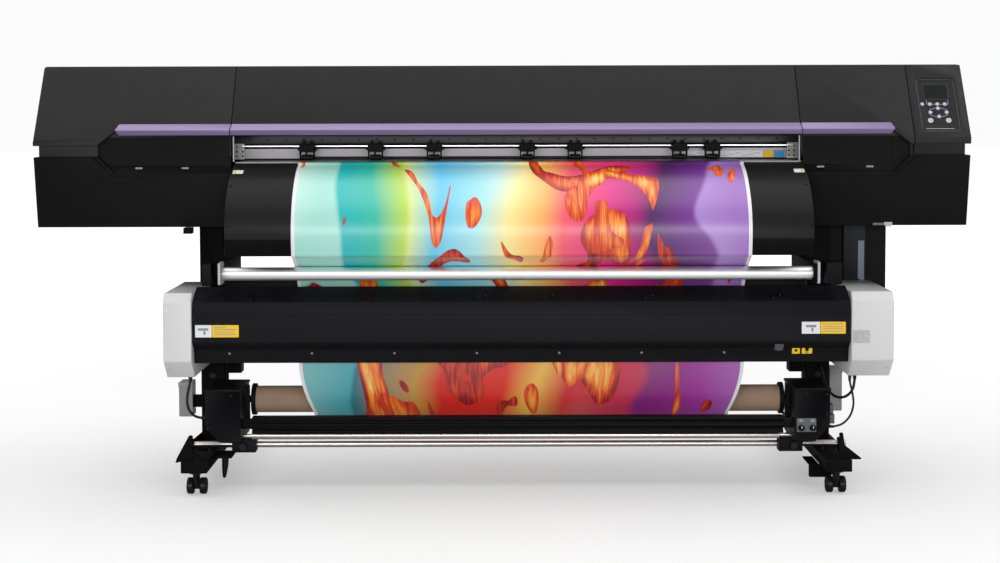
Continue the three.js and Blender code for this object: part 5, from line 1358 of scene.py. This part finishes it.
def strip_caps(rows, columns):
    """Faces on the two ends of a flattened ring of two rows of points."""
    faces = []
    for start, flip in ((0, False), ((rows - 1) * 2 * columns, True)):
        for i in range(columns - 1):
            face = (start + i, start + 2 * columns - 1 - i, start + 2 * columns - 2 - i, start + i + 1)
            faces.append(face if flip else face[::-1])
    return faces


class PC_OT_hood(bpy.types.Operator):
    """The long hood over the hanging media, its white ends, clips, screws and plain markings"""
    bl_idname = "printer_cutter.hood"
    bl_label = "Hood"

    def execute(self, context):
        s = context.scene.printer_cutter_shape
        f = FINISH
        hood = "slitter_hood"
        softened(hood, s.metal_edge, f["unit"])
        softened("hood_left_cover", 0.004, f["pale"])
        softened("hood_right_cover", 0.004, f["pale"])
        clips, posts = [], []
        for i, x in enumerate((-0.823, -0.434, -0.076, 0.143, 0.469, 0.886)):
            clips.append(stuck(hood, x - 0.011, x + 0.011, 0.6400, 0.6520, 0.0045, 0.001, 0.002))
            clips.append(stuck(hood, x - 0.005, x + 0.005, 0.6440, 0.6530, 0.0035, 0.001, 0.001, 0.0045))
            if i > 1:
                point, axes = lying_on(hood, x + 0.022, 0.6500)
                posts.append(turned([(0, 0.0042), (0.007, 0.0036), (0.0085, 0.0022)], axes, point, 16))
        piece("hood_clips", clips, f["gloss"])
        piece("hood_posts", posts, f["gloss"])
        screws = [on_node(hood, x, 0.4660, s.screw, 0.0022) for x in np.arange(-0.894, 1.10, 0.270)]
        piece("hood_screws", screws, f["dim"])
        low, high = float(HOOD_LOW[0]) + 0.003, float(HOOD_HIGH[0]) - 0.003
        # painted shade: a matt black strip stands for the shade in the groove on the hood's lower facet
        piece("hood_groove_shade", stuck(hood, low, high, 0.4800, 0.4975, 0.0004, 0.0001, 0.0004), f["matt"])
        ridges = [stuck(hood, low, high, z - 0.0011, z + 0.0011, 0.0009, 0.0003, 0.0006)
                  for z in (0.4780, 0.5960, 0.5040)]
        piece("hood_ridges", ridges, f["unit"])
        # painted shade: a dark plate fills the gap between hood and tension bar, where only shade is seen
        piece("hood_gap_shade_plate", block((-0.930, -0.274, 0.610), (1.007, -0.270, 0.712), 0.001, 0.003), f["dark"])
        piece("hood_markings", joined(stuck(hood, -1.000, -0.946, 0.5240, 0.5640),
                                      stuck(hood, 0.974, 1.034, 0.5310, 0.5700)), f["label"])
        piece("hood_patches", [stuck(hood, -0.9445, -0.858, 0.5240, 0.5640),
                               stuck(hood, 1.0355, 1.117, 0.5310, 0.5700),
                               stuck(hood, 0.948, 0.974, 0.4610, 0.4810, 0.0004, 0.0001, 0.0015, 0.0005)],
              f["yellow"])
        bars = []
        for x0, width, z in ((-0.938, 0.040, 0.5570), (-0.938, 0.072, 0.5490), (-0.938, 0.066, 0.5410),
                             (-0.938, 0.072, 0.5330)):
            bars.append(stuck(hood, x0, x0 + width, z - 0.0012, z + 0.0012, *INK, 0.0003, 0.0004))
        for z in (0.5630, 0.5550, 0.5470, 0.5390):
            bars.append(stuck(hood, 1.042, 1.110, z - 0.0011, z + 0.0011, *INK, 0.0003, 0.0004))
        for x, z in ((-0.974, 0.5440), (1.004, 0.5500)):
            bars.append(stuck(hood, x - 0.017, x + 0.017, z + 0.002, z + 0.010, *INK, 0.002, 0.0004))
            bars.append(stuck(hood, x + 0.001, x + 0.008, z - 0.012, z + 0.001, *INK, 0.001, 0.0004))
        piece("hood_marking_lines", bars, f["dim"])
        piece("hood_small_marking", stuck(hood, 0.980, 1.014, 0.4610, 0.4930, 0.0004, 0.0001, 0.0015, 0.0005),
              f["yellow"])
        piece("hood_small_sign", joined(stuck(hood, 0.991, 1.003, 0.4700, 0.4830, *INK, 0.004, 0.0010),
                                        stuck(hood, 0.957, 0.965, 0.4680, 0.4760, *INK, 0.001,
                                              0.0010)), f["matt"])
        piece("hood_socket", joined(stuck(hood, 0.889, 0.918, 0.4700, 0.4960, 0.004, 0.001, 0.002),
                                    stuck(hood, 0.895, 0.912, 0.4760, 0.4900, 0.0016, 0.0005, 0.001, 0.004)),
              f["grey"])
        latch = joined(stuck("hood_right_cover", 1.1385, 1.1930, 0.5020, 0.5430, 0.0016, 0.0005, 0.003),
                       stuck("hood_right_cover", 1.1480, 1.1700, 0.5100, 0.5350, 0.0030, 0.001, 0.003, 0.0016))
        piece("end_cover_latch", latch, f["light"])
        screws = [on_node(node, x, z, s.screw, 0.002) for node, x, z in (
            ("hood_right_cover", 1.1830, 0.5225), ("hood_right_cover", 1.2560, 0.6100),
            ("hood_right_cover", 1.2560, 0.4200), ("hood_left_cover", -1.0900, 0.6100),
            ("hood_left_cover", -1.0900, 0.4200))]
        piece("end_cover_screws", screws, f["steel"])
        return {"FINISHED"}


class PC_OT_takeup(bpy.types.Operator):
    """Take-up bars, rail and housings, with the control plate, its turning knobs, clamps and sockets"""
    bl_idname = "printer_cutter.takeup"
    bl_label = "Take-up unit"

    def execute(self, context):
        s = context.scene.printer_cutter_shape
        f = FINISH
        for node in ("takeup_slide_bar", "takeup_turn_bar"):
            softened(node, 0.0012, f["chrome"])
        softened("tension_bar", 0.0012, f["bar"])
        softened("takeup_rail", 0.0012, f["dark"])
        sides = joined(block((-0.9175, -0.4480, 0.6980), (-0.9105, -0.3700, 0.7690), 0.0012, 0.008, "X"),
                       block((1.0185, -0.4480, 0.6980), (1.0255, -0.3700, 0.7690), 0.0012, 0.008, "X"))
        piece("tension_bar_plates", sides, f["light"])
        boxes = joined(block((-0.9720, -0.4280, 0.6930), (-0.9440, -0.3600, 0.7660), 0.002, 0.004, "X"),
                       block((1.0500, -0.4280, 0.6930), (1.1000, -0.3600, 0.7660), 0.002, 0.004, "X"))
        piece("tension_bar_boxes", boxes, f["dark"])
        for node in ("left_takeup_housing", "right_takeup_housing"):
            softened(node, 0.0025, f["unit"])
        right, left = "right_takeup_housing", "left_takeup_housing"
        mechanisms = joined(block((-0.8690, -0.2300, 0.2050), (-0.8515, -0.2240, 0.3380), 0.001, 0.004),
                            block((0.9525, -0.2300, 0.2050), (0.9675, -0.2240, 0.3380), 0.001, 0.004))
        piece("housing_mechanisms", mechanisms, f["matt"])
        piece("control_plate", stuck(right, 0.9755, 1.0400, 0.1910, 0.2370, 0.0008, 0.0003, 0.003), f["grey"])
        marks = [stuck(right, x - 0.006, x + 0.006, z - 0.0012, z + 0.0012, *INK, 0.0003, 0.0010)
                 for x in (0.990, 1.028) for z in (0.2270, 0.2310)]
        piece("control_plate_marks", marks, f["light"])
        for name in ("takeup_switch_1", "takeup_switch_2"):
            low, high = corners(name)
            at = (low + high) / 2
            radius, depth = (high[2] - low[2]) / 2, (high[1] - low[1]) / 2
            profile = [(depth, radius - 0.0008), (depth - 0.0010, radius), (-depth * 0.1, radius),
                       (-depth * 0.3, radius * 0.90), (-depth + 0.001, radius * 0.86), (-depth, radius * 0.80)]
            grip = turned(profile, "Y", at, 40)
            pointer = block(at + (-0.0011, -depth - 0.0006, radius * 0.05),
                            at + (0.0011, -depth + 0.0012, radius * 0.84), 0.0003, 0.0005)
            stand_in(name, grip, f["matt"], 40)
            piece(name + "_pointer", pointer, f["label"], BODY_OF[name])
        knobs = []
        for node, x in ((left, -0.872), (right, 0.977)):
            point, axes = lying_on(node, x, 0.1340)
            profile = [(0.0002, 0.006), (0.006, 0.006), (0.0065, 0.013), (0.0145, 0.0135), (0.0165, 0.0120)]
            knobs.append(turned(profile, axes, point, 10))
        piece("clamp_knobs", knobs, f["gloss"])
        x = float(corners(right)[1][0])
        sockets = joined(block((x + 0.0002, -0.300, 0.2140), (x + 0.0160, -0.262, 0.2440), 0.001, 0.002, "X"),
                         block((x + 0.0002, -0.300, 0.2480), (x + 0.0120, -0.262, 0.2780), 0.001, 0.002, "X"))
        piece("housing_sockets", sockets, f["grey"])
        screws = []
        for node, places in ((left, ((-0.978, 0.205), (-0.978, 0.300), (-0.900, 0.318))),
                             (right, ((1.076, 0.250), (1.076, 0.318), (1.010, 0.318)))):
            for px, pz in places:
                screws.append(on_node(node, px, pz, s.screw, 0.002))
        piece("housing_screws", screws, f["gloss"])
        rail_screws = [on_node("takeup_rail", px, 0.2370, 0.0032, 0.0012) for px in np.linspace(-0.80, 0.90, 8)]
        piece("rail_screws", rail_screws, f["matt"])
        return {"FINISHED"}


class PC_OT_stand(bpy.types.Operator):
    """Legs, stretcher and foot beams with their ears, flanges, bolts and the two boxes behind the legs"""
    bl_idname = "printer_cutter.stand"
    bl_label = "Stand"

    def execute(self, context):
        s = context.scene.printer_cutter_shape
        f = FINISH
        for node in ("left_leg", "right_leg", "rear_stretcher"):
            softened(node, s.metal_edge, f["paint"])
        ears = joined(
            plate([(-1.0470, 0.1140), (-1.0730, 0.1080), (-1.0680, 0.1240), (-1.0270, 0.1990),
                   (-1.0150, 0.1990), (-1.0150, 0.1195)], "Y", -0.396, -0.392, 0.001, 0.004),
            plate([(1.1360, 0.1140), (1.1020, 0.1195), (1.1020, 0.2030), (1.1140, 0.2030), (1.1200, 0.1620),
                   (1.1745, 0.1190), (1.1745, 0.1150)], "Y", -0.396, -0.392, 0.001, 0.004),
            block((-1.047, -0.396, 0.1192), (-1.018, -0.360, 0.1222), 0.0008, 0.002, "Z"),
            block((1.108, -0.396, 0.1192), (1.136, -0.360, 0.1222), 0.0008, 0.002, "Z"))
        piece("stand_ears", ears, f["paint"])
        flanges = joined(
            plate([(1.0200, 0.0790), (1.1000, 0.0790), (1.1000, 0.0460), (1.0900, 0.0350), (1.0200, 0.0350)],
                  "Y", -0.3020, -0.2980, 0.001, 0.006),
            block((1.0200, -0.300, 0.0755), (1.0532, -0.180, 0.0795), 0.001, 0.003, "Z"),
            block((-0.9642, -0.310, 0.1040), (-0.9030, -0.200, 0.1085), 0.001, 0.006, "Z"),
            plate([(-0.310, 0.1045), (-0.200, 0.1045), (-0.215, 0.0600), (-0.262, 0.0320), (-0.290, 0.0340),
                   (-0.306, 0.0600)], "X", -0.9350, -0.9290, 0.001, 0.006))
        piece("stand_flanges", flanges, f["paint"])
        boxes, mounts, lids = [], [], []
        for x0, x1, z0, z1, wall in ((-1.137, -1.090, 0.185, 0.307, -1.048), (1.150, 1.192, 0.200, 0.352, 1.137)):
            boxes.append(block((x0, 0.010, z0), (x1, 0.075, z1), 0.002, 0.004))
            lids.append(block((x0 - 0.0010, 0.004, z1 - 0.018), (x1 + 0.0010, 0.0095, z1 + 0.0005), 0.001,
                              0.002))
            a, b = sorted((wall, x1 if wall > x1 else x0))
            mounts.append(block((a, 0.030, z0 + 0.030), (b, 0.034, z0 + 0.075), 0.001, 0.002))
        piece("leg_boxes", boxes, f["box"])
        piece("leg_box_lids", lids, f["box"])
        piece("leg_box_mounts", mounts, f["paint"])
        bolts = []
        for node, x in LEGS:
            for z in (0.200, 0.250, 0.340):
                point, axes = lying_on(node, x, z)
                bolts.append(hex_head(point + axes[2] * 0.0001, axes, s.bolt))
            for y in (-0.255, 0.255):
                for side in (-0.022, 0.022):
                    bolts.append(hex_head((x + side, y, float(beam_top())), "Z", s.bolt))
        piece("stand_bolts", bolts, f["gloss"])
        seams = []
        for node, x in LEGS:
            for z in (0.430, 0.700):
                seams.append(stuck(node, x - 0.010, x + 0.010, z - 0.0035, z + 0.0035, 0.0012, 0.0004, 0.0033))
        piece("leg_plugs", seams, f["matt"])
        return {"FINISHED"}


def beam_top():
    """Height of the top of the foot beams, in front of the pillars."""
    mesh = NODES["left_leg"].data
    tree = BVHTree.FromPolygons([v.co.copy() for v in mesh.vertices], [tuple(p.vertices) for p in mesh.polygons])
    point, _, _, _ = tree.ray_cast((-1.029, -0.255, 2.0), (0, 0, -1))
    return point[2] + 0.0001


class PC_OT_casters(bpy.types.Operator):
    """Twin-wheel casters: turned wheels with hubs and tread, and glossy hoods with their stems"""
    bl_idname = "printer_cutter.casters"
    bl_label = "Casters"

    def execute(self, context):
        f = FINISH
        for node in sorted(NODES):
            if node.endswith("caster_fork"):
                softened(node, 0.002, f["gloss"])
            elif node.endswith("caster_wheels"):
                low, high = corners(node)
                at, radius = (low + high) / 2, (high[2] - low[2]) / 2
                half, wide = (high[0] - low[0]) / 2, 0.022
                wheels, hubs = [], []
                for side in (-1, 1):
                    turn = np.linspace(0, math.pi / 2, 6)
                    outer = [(side * (half - 0.005 + 0.005 * math.sin(t)), radius - 0.005 + 0.005 * math.cos(t))
                             for t in turn]
                    inner = [(side * (half - wide + 0.005 - 0.005 * math.sin(t)),
                              radius - 0.005 + 0.005 * math.cos(t)) for t in turn[::-1]]
                    dish = [(side * half, radius * 0.74), (side * (half - 0.0025), radius * 0.70),
                            (side * (half - 0.0035), radius * 0.42), (side * (half - 0.0010), radius * 0.34),
                            (side * (half - 0.0006), radius * 0.12)]
                    bore = [(side * (half - wide), radius * 0.30)]
                    wheels.append(turned(bore + inner + outer + dish, "X", at, 56))
                    hubs.append(turned([(side * (half - 0.0009), radius * 0.30),
                                        (side * half, radius * 0.27),
                                        (side * (half + 0.0003), radius * 0.10)], "X", at, 32))
                axle = rod("X", at, -half + wide - 0.002, half - wide + 0.002, 0.005, 0.0005, 24)
                stand_in(node, joined(*wheels), f["rubber"], 42)
                piece(node.replace("wheels", "hubs"), [axle, *hubs], f["gloss"],
                      BODY_OF[node])
        return {"FINISHED"}


class PC_OT_inside(bpy.types.Operator):
    """The print carriage under the covers, and on the back holder knobs, inlet, sockets and bolts"""
    bl_idname = "printer_cutter.inside"
    bl_label = "Carriage and back"

    def execute(self, context):
        s = context.scene.printer_cutter_shape
        f = FINISH
        softened("carriage", 0.004, f["unit"])
        low, high = corners("carriage")
        body = BODY_OF["carriage"]
        fins = [stuck("carriage", x - 0.016, x + 0.016, 1.2120, 1.2560, 0.0030, 0.001, 0.003)
                for x in np.linspace(low[0] + 0.040, high[0] - 0.040, 6)]
        piece("carriage_caps", fins, f["grey"], body)
        tags = [stuck("carriage", x - 0.010, x + 0.010, 1.2180, 1.2240, 0.0004, 0.0001, 0.001, 0.0031)
                for x in np.linspace(low[0] + 0.040, high[0] - 0.040, 6)]
        piece("carriage_tags", tags, f["light"], body)
        y = float(corners("rear_cover")[1][1])
        inlet = joined(block((1.180, y + 0.0002, 0.905), (1.240, y + 0.0040, 0.945), 0.001, 0.004),
                       block((1.192, y + 0.0040, 0.912), (1.228, y + 0.0060, 0.938), 0.0008, 0.003))
        piece("power_inlet", inlet, f["matt"])
        sockets = many(lambda at: block(at + (-0.009, 0.0002, -0.007), at + (0.009, 0.0030, 0.007), 0.0008,
                                        0.002), [(1.040, y, 0.925), (1.075, y, 0.925), (1.110, y, 0.925)])
        piece("rear_sockets", sockets, f["grey"])
        at = centre("supply_roll")
        low, high = corners("supply_roll")
        discs = []
        for x, side in ((low[0] - 0.018, -1), (high[0] + 0.018, 1)):
            discs.append(turned([(0, 0.034), (side * 0.004, 0.036), (side * 0.010, 0.034), (side * 0.013, 0.020),
                                 (side * 0.013, 0.004)], "X", (x, at[1], at[2]), 48))
        piece("holder_knobs", discs, f["gloss"])
        bolts = []
        for node, x in LEGS:
            for z in (0.200, 0.250, 0.800, 0.850):
                point, axes = lying_on(node, x, z, True)
                bolts.append(hex_head(point + axes[2] * 0.0001, axes, s.bolt))
        piece("rear_bolts", bolts, f["gloss"])
        return {"FINISHED"}


class PC_OT_finishes(bpy.types.Operator):
    """Makes every material from the colours in the panel"""
    bl_idname = "printer_cutter.finishes"
    bl_label = "Finishes"

    def execute(self, context):
        make_finishes(context.scene.printer_cutter_finish, context.scene.printer_cutter_media.margin)
        return {"FINISHED"}


class PC_PT_main(bpy.types.Panel):
    """Sizes, colours and pieces of the printer cutter"""
    bl_idname = "PC_PT_main"
    bl_label = "Printer Cutter"
    bl_space_type = "VIEW_3D"
    bl_region_type = "UI"
    bl_category = "Printer Cutter"

    def draw(self, context):
        for key in SETTINGS:
            settings = getattr(context.scene, "printer_cutter_" + key)
            box = self.layout.box()
            for name in settings.__annotations__:
                box.prop(settings, name)
        for operator in OPERATORS:
            self.layout.operator(operator.bl_idname)


SETTINGS = {"finish": FinishSettings, "shape": ShapeSettings, "media": MediaSettings, "stage": StageSettings}
OPERATORS = (PC_OT_finishes, PC_OT_stage, PC_OT_cords, PC_OT_covers, PC_OT_window, PC_OT_panel, PC_OT_media,
             PC_OT_hood, PC_OT_takeup, PC_OT_stand, PC_OT_casters, PC_OT_inside)


def register():
    """Adds the settings, operators and panel to Blender."""
    for group_class in SETTINGS.values():
        bpy.utils.register_class(group_class)
    for operator in OPERATORS:
        bpy.utils.register_class(operator)
    bpy.utils.register_class(PC_PT_main)
    for key, group_class in SETTINGS.items():
        setattr(bpy.types.Scene, "printer_cutter_" + key, PointerProperty(type=group_class))


def unregister():
    """Takes them away again."""
    for key in SETTINGS:
        delattr(bpy.types.Scene, "printer_cutter_" + key)
    for item in (PC_PT_main, *reversed(OPERATORS), *reversed(SETTINGS.values())):
        bpy.utils.unregister_class(item)


def main():
    """Builds everything in order."""
    register()
    for operator in OPERATORS:
        getattr(bpy.ops.printer_cutter, operator.bl_idname.split(".")[1])()


if __name__ == "__main__":
    main()
